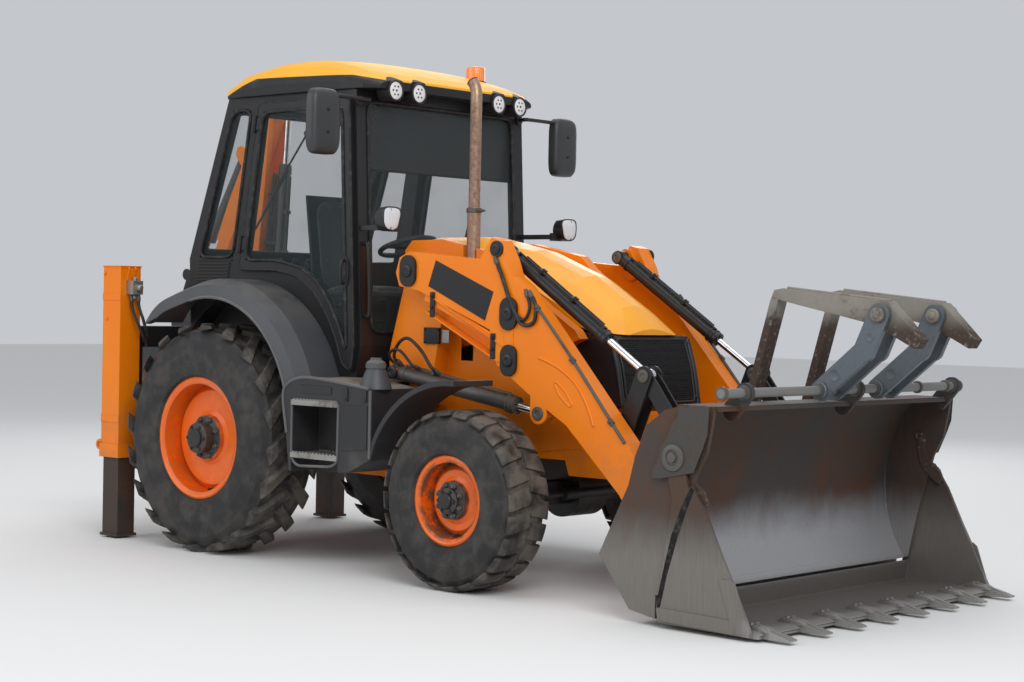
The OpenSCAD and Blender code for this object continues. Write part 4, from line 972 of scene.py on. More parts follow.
# %% Handles, hinge covers and louvres
for side, word in SIDES:
    bm = fresh()
    oval = [(989 + 34 * math.cos(a), 1759 + 95 * math.copysign(abs(math.sin(a)) ** 0.8, math.sin(a)))
            for a in (2 * math.pi * k / 28 for k in range(28))]
    plate(bm, oval, side * DOOR_FACE, side * 782)
    keep("handle_plate_" + word, bm, TRIM_PLASTIC, "door_" + word, 0.003, 35)
    bm = fresh()
    tube(bm, [at(989, side * 780, 1690), at(989, side * 806, 1702), at(989, side * 812, 1760),
              at(989, side * 806, 1818),
              at(989, side * 780, 1830)], 0.010, 12, 6)
    lathe(bm, at(989, side * 781, 1672), (0, side, 0), [(0, 0.012), (0.006, 0.012), (0.008, 0.009)], 24)
    keep("handle_bar_" + word, bm, SATIN_BLACK, "door_" + word, smooth=40)
    bm, knuckles = fresh(), fresh()
    for x, z in ((146, 2680), (26, 1930)):
        rise = Vector((175, 0, 1090)).normalized()
        lathe(knuckles, at(x, side * 782, z) - rise * 0.055, rise,
              [(0, 0.012), (0.003, 0.016), (0.107, 0.016), (0.110, 0.012)], 24)
        plate(bm, [(x + 14, z - 38), (x + 72, z - 30), (x + 78, z + 36), (x + 26, z + 42)],
              side * DOOR_FACE, side * 783)
    keep("hinge_covers_" + word, bm, SATIN_BLACK, "door_" + word, 0.002, 35)
    keep("hinge_knuckles_" + word, knuckles, SATIN_BLACK, "chassis", smooth=35)
    bm = fresh()
    for k in range(6):
        z = 1700 + k * 21
        plate(bm, [(-440 + k * 3, z), (-130 + k * 3, z), (-130 + k * 3, z + 9), (-440 + k * 3, z + 9)],
              side * 738, side * 750)
    plate(bm, [(-455, 1686), (-115, 1686), (-115, 1692), (-455, 1692)], side * 738, side * 752)
    plate(bm, [(-430, 1828), (-95, 1828), (-95, 1834), (-430, 1834)], side * 738, side * 752)
    keep("side_louvres_" + word, bm, TRIM_PLASTIC, "chassis", 0.0025, 35)

# %% Wipers and grab rails
bm = fresh()
for face, lean, z0, z1, swing in ((front_face, 1, 1450, 2120, 230), (rear_face, -1, 2700, 2150, -210)):
    foot = at(face(z0) + lean * 6, 0, z0)
    tip = at(face(z1) + lean * 16, swing, z1)
    lathe(bm, foot - Vector((lean * 0.012, 0, 0)), (lean, 0, 0),
          [(0, 0.028), (0.030, 0.024), (0.034, 0.016)], 24)
    tube(bm, [foot + Vector((lean * 0.012, 0, 0)), (foot + tip) / 2 + Vector((lean * 0.014, 0, 0)), tip],
         0.007, 10, 6)
    along = (tip - foot).normalized()
    middle = tip - along * 0.05
    tube(bm, [middle - along * 0.29 - Vector((lean * 0.008, 0, 0)),
              middle + along * 0.29 - Vector((lean * 0.012, 0, 0))], 0.0075, 8, 1)
keep("wipers", bm, SATIN_BLACK, "chassis", smooth=40)
bm = fresh()
for side in (-1, 1):
    tube(bm, [at(front_face(1500) + 2, side * 700, 1500), at(front_face(1530) + 42, side * 704, 1530),
              at(front_face(1900) + 42, side * 704, 1900), at(front_face(1930) + 2, side * 700, 1930)],
              0.013, 12, 6)
keep("grab_rails", bm, SATIN_BLACK, "chassis", smooth=40)
print("cab trim done:", made_count)

# %% [markdown]
# ## Inside the cab
# Through the glass one sees a sprung seat, a steering wheel and the levers that work the loader and
# the backhoe. The levers are thin rods with round grips in rubber bellows.

# %% Levers and pedals
bm, grips = fresh(), fresh()
for x, y, z, lean_x, lean_y in ((540, -330, 1560, 40, -10), (600, -345, 1560, 30, -10),
                                (-330, -180, 1565, 60, 0),
                                (-330, -60, 1565, 60, 0), (-330, 60, 1565, 60, 0),
                                (-330, 180, 1565, 60, 0)):
    low, high = at(x, y, z), at(x + lean_x, y + lean_y, z + 260)
    tube(bm, [low, (low + high) / 2 + Vector((0.012, 0, 0)), high], 0.007, 10, 6)
    lathe(grips, high - Vector((0, 0, 0.03)), (0.15, 0, 1),
          [(0, 0.010), (0.012, 0.017), (0.045, 0.020), (0.062, 0.016), (0.068, 0.006)], 20)
    lathe(grips, low - Vector((0, 0, 0.004)), (0, 0, 1),
          [(0, 0.045), (0.012, 0.045), (0.016, 0.036), (0.026, 0.038), (0.032, 0.028),
                                                          (0.042, 0.030), (0.05, 0.018), (0.07, 0.012)], 24)
keep("control_levers", bm, CHROME, "chassis", smooth=40)
keep("lever_grips", grips, SEAL_RUBBER_AND_HOLE_SHADE, "chassis", smooth=40)
bm = fresh()
for x in (470, 510):
    plate(bm, [(x - 6, 1145), (x + 2, 1145), (x + 2, 1560), (x - 6, 1560)], -410, -290)
plate(bm, [(440, 1548), (660, 1548), (660, 1562), (440, 1562)], -400, -270)
keep("lever_stand", bm, TRIM_PLASTIC, "chassis", 0.004)
bm = fresh()
for y in (-120, -40, 120):
    plate(bm, [(770, 1180), (800, 1172), (808, 1250), (796, 1256)], y - 28, y + 28)
    tube(bm, [at(800, y, 1240), at(850, y, 1330), at(872, y, 1400)], 0.009, 10, 6)
keep("pedals", bm, SATIN_BLACK, "chassis", 0.002)

# %% [markdown]
# The seat is the one soft thing on the machine. Each cushion starts as a rounded block a little
# smaller than the CAD solid. It is remeshed so the cloth has even threads, blown up gently with
# Blender's cloth pressure, and capped so that no point travels far. The piping is a cord of vinyl that
# runs round the seam where the two halves of the cover meet.

# %% Blowing up a cushion
def cushion(name, low, high, crown, voxel=0.012):
    """A padded form between two corners, with a crowned face and softened sides."""
    low, high = Vector(low), Vector(high)
    middle, half = (low + high) / 2, (high - low) / 2
    mesh = bpy.data.meshes.new(name)
    bm = fresh()
    bmesh.ops.create_cube(bm, size=2.0)
    bmesh.ops.subdivide_edges(bm, edges=bm.edges, cuts=7, use_grid_fill=True)
    for v in bm.verts:
        p = v.co.copy()
        pull = 1 - 0.06 * (abs(p.x) ** 4 * abs(p.y) ** 4 + abs(p.y) ** 4 * abs(p.z) ** 4
                           + abs(p.x) ** 4 * abs(p.z) ** 4)
        rise = crown * (1 - p.x ** 2) * (1 - p.y ** 2) if p.z > 0 else 0
        v.co = middle + Vector((p.x * half.x * pull, p.y * half.y * pull, p.z * half.z * pull + rise * p.z))
    bmesh.ops.bevel(bm, geom=[e for e in bm.edges if e.calc_face_angle(0) > 0.7], offset=0.022, segments=3,
                    affect="EDGES")
    bm.to_mesh(mesh)
    bm.free()
    piece = bpy.data.objects.new(name, mesh)
    bpy.context.scene.collection.objects.link(piece)
    inflate(piece, voxel, 0.010)
    for face in piece.data.polygons:
        face.use_smooth = True
    piece.data.materials.append(CLOTH)
    return piece


def inflate(piece, voxel, cap):
    """Swells a closed mesh with cloth pressure and keeps each point within the cap."""
    bpy.context.view_layer.objects.active = piece
    remesh = piece.modifiers.new("remesh", "REMESH")
    remesh.mode, remesh.voxel_size = "VOXEL", voxel
    bpy.context.view_layer.update()
    even = bpy.data.meshes.new_from_object(piece.evaluated_get(bpy.context.evaluated_depsgraph_get()))
    piece.modifiers.clear()
    piece.data = even
    start = [v.co.copy() for v in even.vertices]
    cloth_sim = piece.modifiers.new("cloth", "CLOTH")
    cloth_sim.settings.use_pressure = True
    cloth_sim.settings.uniform_pressure_force = 4.0
    cloth_sim.settings.effector_weights.gravity = 0.0
    scene = bpy.context.scene
    for frame_number in range(1, 21):
        scene.frame_set(frame_number)
    swollen = piece.evaluated_get(bpy.context.evaluated_depsgraph_get()).to_mesh()
    ends = [v.co.copy() for v in swollen.vertices]
    piece.evaluated_get(bpy.context.evaluated_depsgraph_get()).to_mesh_clear()
    piece.modifiers.clear()
    for v, a, b in zip(piece.data.vertices, start, ends):
        move = b - a
        v.co = a + (move.normalized() * min(move.length, cap) if move.length > 0 else move)
    scene.frame_set(1)


# %% The seat
base = cushion("seat_base", at(165, -238, 1572), at(640, 238, 1668), 0.012)
back = cushion("seat_back", (-0.28, -0.222, -0.032), (0.30, 0.222, 0.032), 0.012)
lean_back = Matrix.Rotation(math.radians(8), 4, "Y").inverted()
back.data.transform(Matrix.Translation(at(152, 0, 1962)) @ lean_back @ Matrix.Rotation(math.radians(90), 4,
                                                                                       "Y"))
for piece in (base, back):
    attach(piece, "chassis")
    made_count += 1
bm = fresh()
tube(bm, rounded_corners([at(172, -232, 1620), at(634, -232, 1620), at(634, 232, 1620), at(172, 232, 1620)],
                         0.05), 0.004, 8, closed=True)
keep("seat_piping", bm, SEAL_RUBBER_AND_HOLE_SHADE, "chassis", smooth=60)
bm = fresh()
plate(bm, [(150, 1560), (640, 1560), (640, 1576), (150, 1576)], -240, 240)
plate(bm, [(100, 1660), (118, 1660), (36, 2270), (18, 2268)], -225, 225)
for k in range(5):
    z = 1190 + k * 66
    plate(bm, [(280 - 8 * (k % 2), z), (520 + 8 * (k % 2), z), (520 + 8 * (k % 2), z + 62),
               (280 - 8 * (k % 2), z + 62)], -130, 130)
plate(bm, [(250, 1146), (550, 1146), (550, 1190), (250, 1190)], -150, 150)
plate(bm, [(250, 1516), (550, 1516), (550, 1561), (250, 1561)], -150, 150)
shell = keep("seat_shell", bm, TRIM_PLASTIC, "chassis", 0.006)
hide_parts("seat")
print("seat made of", len(base.data.vertices), "and", len(back.data.vertices), "points")

# %% [markdown]
# ## Steps, boxes and fenders
# The step treads are cut with teeth so a muddy boot grips. The plastic boxes have thick rolled rims
# that have rubbed pale, a filler cap with a raised grip, and a latch on the lid. The fender's edge is
# rolled too, which is why it shows as a light line against the dark arch.

# %% Step teeth
bm = fresh()
for side in (-1, 1):
    for z in (662, 972):
        for k in range(13):
            x = 915 + k * 29
            plate(bm, [(x, z + 24), (x + 18, z + 24), (x + 14, z + 34), (x + 4, z + 34)], side * 1094,
                  side * 1108)
            plate(bm, [(x, z + 24), (x + 18, z + 24), (x + 14, z + 34), (x + 4, z + 34)], side * 884,
                  side * 896)
        plate(bm, [(902, z - 4), (1298, z - 4), (1298, z + 27), (902, z + 27)], side * 1107, side * 1111)
keep("step_teeth", bm, ALUMINIUM, "chassis", 0.001)

# %% Rims of the boxes
RECESS = [(900, 985), (900, 700), (912, 640), (960, 610), (1240, 622), (1296, 650), (1300, 985),
          (1282, 1000), (918, 1000)]
bm = fresh()
for side in (-1, 1):
    tube(bm, rounded_corners([at(x, side * 1100, z) for x, z in RECESS], 0.05), 0.008, 8, closed=True)
    tube(bm, [at(x, side * 1099, z) for x,
              z in ((856, 800), (820, 1008), (852, 1086), (968, 1129), (1130, 1129), (1440, 1100),
                                                (1550, 1086))], 0.010, 10, 5)
    tube(bm, [at(1560, side * 1099, 1080), at(1561, side * 1099, 690)], 0.009, 10, 1)
keep("box_rims", bm, WORN_PLASTIC, "chassis", smooth=60)
bm = fresh()
for side in (-1, 1):
    for x in (1345, 1500):
        plate(bm, [(x, 1010), (x + 34, 1010), (x + 34, 1075), (x + 26, 1088), (x + 8, 1088), (x, 1075)],
              side * BOX_FACE, side * 1108)
        lathe(bm, at(x + 17, side * 1108, 1028), (0, side, 0), [(0, 0.010), (0.004, 0.009)], 16)
    plate(bm, [(980, 1040), (1240, 1040), (1240, 1084), (980, 1090)], side * BOX_FACE, side * 1104)
    plate(bm, [(1330, 720), (1540, 740), (1540, 990), (1330, 985)], side * BOX_FACE, side * 1104)
keep("box_latches", bm, TRIM_PLASTIC, "chassis", 0.003)

# %% Filler cap
NECK = at(1500, -1000, 1230)
bm = fresh()
lathe(bm, NECK, (0, 0, 1),
      [(-0.030, 0.049), (-0.028, 0.056), (0.004, 0.056), (0.012, 0.050), (0.020, 0.036), (0.024, 0)], 48)
for k in range(24):
    turn = 2 * math.pi * k / 24
    spot = NECK + Vector((0.0555 * math.cos(turn), 0.0555 * math.sin(turn), -0.026))
    lathe(bm, spot, (0, 0, 1), [(0, 0.0035), (0.027, 0.0035)], 6)
plate(bm, [(1456, 1238), (1544, 1238), (1536, 1264), (1464, 1264)], -1008, -992)
keep("filler_cap", bm, WORN_PLASTIC, "chassis", 0.002, 35)
bm = fresh()
lathe(bm, at(1500, -1000, 1084), (0, 0, 1), [(0, 0.095), (0.030, 0.088), (0.10, 0.062), (0.118, 0.052)], 40)
keep("filler_neck", bm, GREY_PLASTIC, "chassis", smooth=40)

# %% Fender rims
ARCH = (100, 840)
bm = fresh()
for side in (-1, 1):
    sweep = [math.radians(a) for a in range(14, 107, 6)]
    edge = [at(ARCH[0] + 752 * math.cos(a), side * 1090, ARCH[1] + 752 * math.sin(a)) for a in sweep]
    tube(bm, edge, 0.009, 8, 3)
keep("fender_rims", bm, WORN_PLASTIC, "chassis", smooth=60)
print("boxes done:", made_count)

# %% [markdown]
# ## Loader arms
# The arms' plates are finished with black bosses and round pin heads. A plain black panel lies on the
# upper arm. A folded steel strut is clipped to each arm's outer face: it is dropped over a ram's rod
# to hold raised arms safely. A thin pipe and raised weld beads run down the lower arm.

# %% Bosses, panels and struts
PANEL = [(1659, 1833), (2114, 1655), (2053, 1492), (1602, 1683)]
STRUT = ((1600, 1580), (2180, 1305))


def pin_head(bm, x, z, y, side, radius, depth=0.012):
    """A round pin end with a rim and a dimple."""
    lathe(bm, at(x, y, z), (0, side, 0), [(-0.002, radius), (depth * 0.75, radius), (depth, radius * 0.9),
                                          (depth, radius * 0.45), (depth * 0.6, radius * 0.38),
                                          (depth * 0.6, 0)], 36)


for side, word in SIDES:
    bm = fresh()
    plate(bm, PANEL, side * ARM_FACE, side * (ARM_FACE + 4))
    keep("bare_panel_" + word, bm, SATIN_BLACK, "loader", 0.0015)
    bm = fresh()
    for x, z, r in ((1440, 1770, 62), (2138, 1897, 46), (2240, 1533, 62), (2247, 1271, 58)):
        stretch = 62 if z < 1800 else 0
        outline = disc((x, z + stretch / 2), r, 17, 0, 180) + disc((x, z - stretch / 2), r, 17, 180, 360)
        plate(bm, outline, side * ARM_FACE, side * (704 if z < 1800 else 698))
    for x, z in ((1440, 1770), (2240, 1533), (2247, 1271)):
        pin_head(bm, x, z, side * 704, side, 0.036, 0.010)
    pin_head(bm, 2138, 1897, side * 698, side, 0.030, 0.008)
    keep("arm_bosses_" + word, bm, SATIN_BLACK, "loader", 0.005, 35, 3)
    bm = fresh()
    plate(bm, [(2206, 1345), (2274, 1338), (2270, 1462), (2200, 1468)], side * ARM_FACE, side * 690)
    keep("arm_plate_" + word, bm, ORANGE, "loader", 0.0015)
    bm = fresh()
    (x0, z0), (x1, z1) = STRUT
    run = Vector((x1 - x0, z1 - z0)).normalized()
    rise = Vector((-run.y, run.x)) * 52
    for a, b, y0, y1 in ((-1.0, -0.84, 618, 690), (0.84, 1.0, 618, 690), (-1.0, 1.0, 612, 620)):
        plate(bm, [(x0 + rise.x * a, z0 + rise.y * a), (x1 + rise.x * a, z1 + rise.y * a),
                   (x1 + rise.x * b, z1 + rise.y * b), (x0 + rise.x * b, z0 + rise.y * b)], side * y0,
                   side * y1)
    keep("safety_strut_" + word, bm, ORANGE, "loader", 0.003)
    bm = fresh()
    for x, z in ((1640, 1562), (2120, 1334)):
        plate(bm, [(x - 16, z - 60), (x + 16, z - 60), (x + 16, z + 86), (x - 16, z + 86)], side * ARM_FACE,
              side * 693)
        bolt(bm, at(x, side * 693, z), (0, side, 0), 0.011, 0.009)
        bolt(bm, at(x, side * 693, z + 66), (0, side, 0), 0.011, 0.009)
    keep("strut_clips_" + word, bm, SATIN_BLACK, "loader", 0.002, 35)
    bm = fresh()
    pin_head(bm, *LIFT_EYE, side * (ARM_FACE + 1), side, 0.038, 0.012)
    pin_head(bm, *TILT_FOOT, side * 474, -side, 0.036, 0.010)
    pin_head(bm, *BUCKET_HINGE, side * 712, side, 0.044, 0.012)
    keep("arm_pins_" + word, bm, CAST_GREY, "loader", 0, 35)
    bm = fresh()
    tube(bm, [at(x, side * 690, z) for x,
              z in ((2385, 1640), (2520, 1500), (2712, 1292), (2897, 1078), (3085, 858))], 0.009, 10, 6)
    for x, z in ((2450, 1574), (2712, 1292), (2990, 968)):
        plate(bm, [(x - 22, z - 4), (x + 6, z - 26), (x + 24, z - 4), (x - 6, z + 20)], side * ARM_FACE,
              side * 700)
        bolt(bm, at(x, side * 700, z), (0, side, 0), 0.007, 0.005)
    keep("arm_pipe_" + word, bm, CAST_GREY, "loader", smooth=35)
    bm = fresh()
    tube(bm, [at(x, side * ARM_FACE, z) for x,
              z in ((2462, 1296), (2604, 1246), (2726, 1168), (2808, 1062), (2868, 935))], 0.009, 8, 8)
    slot = [(2578, 1160), (2600, 1166), (2668, 1108), (2712, 1046), (2694, 1032), (2618, 1092)]
    tube(bm, rounded_corners([at(x, side * ARM_FACE, z) for x, z in slot], 0.018), 0.007, 8, closed=True)
    keep("arm_beads_" + word, bm, ORANGE, "loader", smooth=60)
bm, plates = fresh(), fresh()
for side in (-1, 1):
    plate(bm, [(1466, 1345), (1592, 1345), (1592, 1440), (1466, 1440)], side * 564, side * 579)
    for x, z in ((1476, 1355), (1582, 1355), (1476, 1430), (1582, 1430)):
        bolt(bm, at(x, side * 579, z), (0, side, 0), 0.006, 0.004)
    plate(plates, [(1606, 1352), (1662, 1352), (1662, 1428), (1606, 1428)], side * 564, side * 569)
    pin_head(bm, *LIFT_FOOT, side * 681, side, 0.040, 0.010)
keep("tower_boxes", bm, SATIN_BLACK, "chassis", 0.002, 35)
keep("tower_plates", plates, ALUMINIUM, "chassis", 0.001)
print("arms done:", made_count)

# %% [markdown]
# ## Rams, pipes and hoses
# The lift, tilt, boom and dipper rams each carry two steel pipes along the barrel, held by clamps.
# Hoses loop from barrel to arm. A hose is bolted at both ends, so each one here is made whole along
# its route, with crimped ends, and it rides on one body.

# %% Dressing a ram
def dress_ram(name, p, q, y, length, radius, body, pipe_side, material=None):
    """Pipes, clamps and a gland for a barrel from p towards q, all in drawing millimetres."""
    p, q = Vector(p), Vector(q)
    run = (q - p).normalized()
    rise = Vector((-run.y, run.x)) * pipe_side

    def spot(s, off, dy=0.0):
        place = p + run * s + rise * off
        return at(place.x, y + dy, place.y)

    bm = fresh()
    direction = at(q.x, y, q.y) - at(p.x, y, p.y)
    for s, r, wide in ((length - 58, radius + 6.5, 0.010), (length - 30, radius + 6.5, 0.010),
                       (70, radius + 2.5, 0.016)):
        lathe(bm, spot(s, 0), direction, [(0, r / 1000), (0.002, (r + 2.5) / 1000),
                                          (wide, (r + 2.5) / 1000), (wide + 0.002, r / 1000)], 40)
    for k in range(6):
        turn = 2 * math.pi * k / 6
        bolt(bm, spot(length + 7, 0.72 * radius * math.cos(turn), 0.72 * radius * math.sin(turn)),
             direction, 0.006, 0.006)
    for dy, ends in ((-11, (90, length - 45)), (11, (130, length - 80))):
        path = [spot(ends[0], radius - 4, dy), spot(ends[0] + 12, radius + 9, dy),
                spot(ends[0] + 45, radius + 11, dy),
                spot(ends[1] - 45, radius + 11, dy), spot(ends[1] - 12, radius + 9, dy),
                spot(ends[1], radius - 2, dy)]
        tube(bm, path, 0.0065, 10, 4)
    for s in (0.3, 0.62):
        corner = [p + run * (s * length + a) + rise * b for a,
                  b in ((0, radius - 3), (26, radius - 3), (26, radius + 22), (0, radius + 22))]
        plate(bm, [(c.x, c.y) for c in corner], y - 24, y + 24)
        bolt(bm, spot(s * length + 13, radius + 21), Vector((rise.x, 0, rise.y)), 0.007, 0.006)
    return keep(name, bm, material or CAST_GREY, body, 0.0, 35)


def hose(name, points, body, radius=0.010):
    """A bolted hose through drawing places, with a crimped collar and a nut at each end."""
    path = [at(*p) for p in points]
    bm = fresh()
    tube(bm, path, radius, 12, 8)
    keep(name, bm, HOSE_RUBBER, body, smooth=60)
    bm = fresh()
    for end, on in ((path[0], path[1]), (path[-1], path[-2])):
        run = (on - end).normalized()
        lathe(bm, end - run * 0.004, run, [(0, radius * 1.15), (0.014, radius * 1.15)], 6)
        lathe(bm, end + run * 0.010, run, [(0, radius * 1.2), (0.004, radius * 1.32),
                                           (0.026, radius * 1.32), (0.032, radius * 1.1)], 16)
    keep(name + "_ends", bm, CAST_GREY, body, smooth=35)


for side, word in SIDES:
    dress_ram("lift_ram_pipes_" + word, LIFT_FOOT, LIFT_EYE, side * LIFT_Y, 960, 44, "lift_barrels", 1)
    dress_ram("tilt_ram_pipes_" + word, TILT_FOOT, LEVER_PIN, side * TILT_Y, 880, 38, "tilt_barrels", 1,
              SATIN_BLACK)
    hose("lift_hose_" + word, [(1352, side * 640, 1212), (1334, side * 690, 1262), (1385, side * 704, 1345),
                               (1465, side * 706, 1374),
                               (1570, side * 704, 1306), (1640, side * 690, 1212),
                               (1668, side * 646, 1172)], "lift_barrels")
    hose("lift_hose_low_" + word, [(1334, side * 640, 1210), (1304, side * 676, 1236),
                                   (1306, side * 704, 1276), (1350, side * 706, 1306),
                                   (1410, side * 704, 1292), (1490, side * 690, 1215),
                                   (1512, side * 646, 1196)], "lift_barrels", 0.009)
    hose("tilt_hose_" + word, [(2128, side * 692, 1848), (2190, side * 699, 1740), (2262, side * 700, 1590),
                               (2345, side * 700, 1478),
                               (2432, side * 698, 1492), (2436, side * 694, 1592),
                               (2388, side * 692, 1660)], "loader", 0.011)
    hose("tilt_hose_low_" + word, [(2150, side * 692, 1806), (2215, side * 699, 1680),
                                   (2290, side * 700, 1545), (2360, side * 700, 1502),
                                   (2400, side * 698, 1570), (2362, side * 692, 1668)], "loader", 0.009)
dress_ram("boom_ram_pipes", BOOM_RAM_FOOT, BOOM_RAM_EYE, HOE_Y, 630, 46, "boom_barrel", 1)
dress_ram("dipper_ram_pipes", DIPPER_RAM_FOOT, DIPPER_RAM_EYE, HOE_Y, 900, 40, "dipper_barrel", -1)
print("rams and hoses done:", made_count)

# %% [markdown]
# ## Bucket
# The clam bucket is plate steel with welded-on parts: a cheek with a wavy edge over each jaw pivot, a
# big pin boss, the links of the jaw's rams, a near-black strip of painted shadow for the gap where jaw
# and back meet, a wear strip along the lower edge, and adapters with a raised ridge that hold the
# teeth. Weld beads run where plates meet.

# %% Cheeks, bosses and wear strips
CHEEK = [(3990, 1108), (3982, 974), (3954, 899), (3903, 784), (3700, 742), (3648, 742), (3662, 800),
         (3690, 850),
         (3700, 900), (3742, 950), (3762, 1010), (3800, 1050), (3806, 1106)]
CORNER_PLATE = [(4073, 268), (4084, 285), (4140, 288), (4166, 268), (4250, 35), (4159, 30)]
# Outline of a near-black strip on each side: painted shadow for the gap between jaw and back.
JAW_GAP_OUTLINE = [(3888, 716), (3832, 610), (3776, 470), (3740, 330), (3702, 170), (3695, 96), (3716, 110),
          (3752, 262), (3806, 436),
          (3862, 590), (3908, 700)]
bm, bosses, gap_shade = fresh(), fresh(), fresh()
for side in (-1, 1):
    plate(bm, CHEEK, side * 1175.2, side * 1181)
    plate(gap_shade, JAW_GAP_OUTLINE, side * 1174.6, side * 1176)
    lathe(bosses, at(3780, side * 1179, 850), (0, side, 0),
          [(0, 0.068), (0.010, 0.066), (0.014, 0.058), (0.014, 0.040),
                                                            (0.008, 0.036), (0.008, 0.026), (0.020, 0.024),
                                                            (0.022, 0.018),
                                                            (0.022, 0)], 40)
# These strips are painted shadow for the gap between jaw and back.
keep("jaw_gap_shades", gap_shade, JAW_GAP_SHADE, "bucket_jaw", smooth=35)
links = fresh()
for side in (-1, 1):
    plate(links, [(3790, 890), (3826, 896), (3850, 870), (3846, 800), (3870, 745), (3940, 690), (3962, 640),
                  (3940, 610),
                     (3890, 640), (3822, 716), (3800, 790), (3806, 850), (3784, 866)], side * 1122,
                     side * 1146)
    pin_head(links, 3808, 876, side * 1123, -side, 0.022, 0.010)
keep("jaw_ram_links", links, FORK_STEEL, "bucket", 0.004, 35)
keep("jaw_cheeks", bm, CHEEK_STEEL, "bucket_jaw", 0.0015)
keep("jaw_bosses", bosses, CAST_GREY, "bucket_jaw", smooth=35)
bm = fresh()
for side in (-1, 1):
    plate(bm, [(3702, 40), (4250, 22), (4256, 46), (4230, 92), (3700, 104)], side * 1174, side * 1181)
    plate(bm, CORNER_PLATE, side * 1174, side * 1182)
plate(bm, [(4120, 44), (4286, 30), (4300, 34), (4300, 40), (4262, 50), (4120, 54)], -1150, 1150)
keep("wear_strips", bm, BUCKET_STEEL, "bucket_jaw", 0.0015, 35)

# %% Tooth adapters
bm = fresh()
for k in range(8):
    y = -1080 + k * 2160 / 7
    plate(bm, [(4150, 46), (4185, 74), (4290, 66), (4318, 52), (4318, 46)], y - 38, y + 38)
    plate(bm, [(4170, 70), (4200, 84), (4300, 68), (4436, 27), (4436, 22), (4318, 46)], y - 9, y + 9)
    for z_side in (-1, 1):
        plate(bm, [(4310, 14), (4316, 56), (4400, 36), (4436, 25), (4436, 18)], y + z_side * 33,
              y + z_side * 23)
        bolt(bm, at(4215, y + z_side * 24, 73), (0, 0, 1), 0.010, 0.008)
keep("tooth_adapters", bm, BUCKET_STEEL, "bucket_jaw", 0.002, 35)

# %% Collars of the fork bar, weld beads and lever pins
bm = fresh()
for y in (-1138, -968, -300, -90, 250, 450, 700, 1000, 1138):
    lathe(bm, at(FORK_BAR[0], y - 9, FORK_BAR[1]), (0, 1, 0),
          [(0, 0.025), (0.001, 0.034), (0.017, 0.034), (0.018, 0.025)], 32)
for k in (-0.82, 0.06, 0.94):
    for side in (-1, 1):
        y = k * 1150 + side * 12
        lathe(bm, at(FORK_BAR[0], y, FORK_BAR[1]), (0, side, 0),
              [(-0.001, 0.040), (0.005, 0.040), (0.006, 0.030)], 32)
keep("fork_bar_sleeves", bm, CAST_GREY, "bucket", smooth=35)
bm = fresh()
for side in (-1, 1):
    beads = [[at(x, side * 1128, z) for x, z in ((3975, 1090), (3780, 1088), (3700, 1020), (3640, 900),
                                                 (3596, 760), (3586, 600), (3600, 450))]]
    beads += [[at(3440, side * y, 700), at(3400, side * y, 612), at(3262, side * y, 452)]
              for y in (546, 714)]
    for bead in beads:
        tube(bm, bead, 0.006, 6, 8)
for y in (-1110, 1110):
    tube(bm, [at(3770, y, 1083), at(4005, y, 1083)], 0.005, 6, 1)
keep("bucket_welds", bm, BUCKET_STEEL, "bucket", smooth=60)
bm = fresh()
for side in (-1, 1):
    pin_head(bm, *LEVER_PIN, side * 560, side, 0.036, 0.010)
    pin_head(bm, *LEVER_PIN, side * 460, -side, 0.036, 0.010)
keep("lever_pins", bm, CAST_GREY, "tip_levers", smooth=35)
print("bucket done:", made_count)

# %% [markdown]
# ## Forks
# The folding forks sit in blue-grey carriers, with a large pin head on each side and two near-black
# discs on each side, painted shade where the carrier has a hole.
# A thin bead runs along the back of each fork's blade and shank.

# %% Carrier pins, hole shades and fork beads
carrier, forks, hole_shades = fresh(), fresh(), fresh()
for y in (-200, 350):
    for side in (-1, 1):
        face = y + side * 79
        pin_head(carrier, *FORK_BAR, face, side, 0.046, 0.014)
        for x, z, r in ((4120, 1256, 0.024), (4322, 1455, 0.015)):
            lathe(carrier, at(x, face, z), (0, side, 0),
                  [(-0.001, r + 0.008), (0.002, r + 0.006), (0.0005, r)], 32)
            # Thin near-black discs at each hole: painted shade for the hole's depth.
            lathe(hole_shades, at(x, face, z), (0, side, 0), [(-0.001, r), (0.0004, r), (0.0004, 0)], 32)
        pin_head(forks, *FORK_PIN, y + side * 84, side, 0.038, 0.016)
        lathe(forks, at(FORK_PIN[0], y + side * 98, FORK_PIN[1]), (0, side, 0),
              [(0, 0.020), (0.006, 0.019), (0.010, 0.012), (0.010, 0)], 28)
    for x0, z0, x1, z1 in ((3770, 1703, 4395, 1643), (3692, 1628, 3432, 702)):
        tube(forks, [at(x0, y, z0), at(x1, y, z1)], 0.008, 8, 1)
keep("carrier_fittings", carrier, CARRIER_STEEL, "fork_carriers", smooth=35)
keep("carrier_hole_shades", hole_shades, SEAL_RUBBER_AND_HOLE_SHADE, "fork_carriers", smooth=35)
keep("fork_fittings", forks, FORK_STEEL, "forks", smooth=35)

# %% [markdown]
# ## Stabilizers and rear frame
# Each leg slides in a square tube. A round boss and a hook stand at the tube's lower collar, pale
# bands run round its outer face, and its top has a welded cap. An alloy valve block sits on the
# front, with two hoses that cross to the frame.

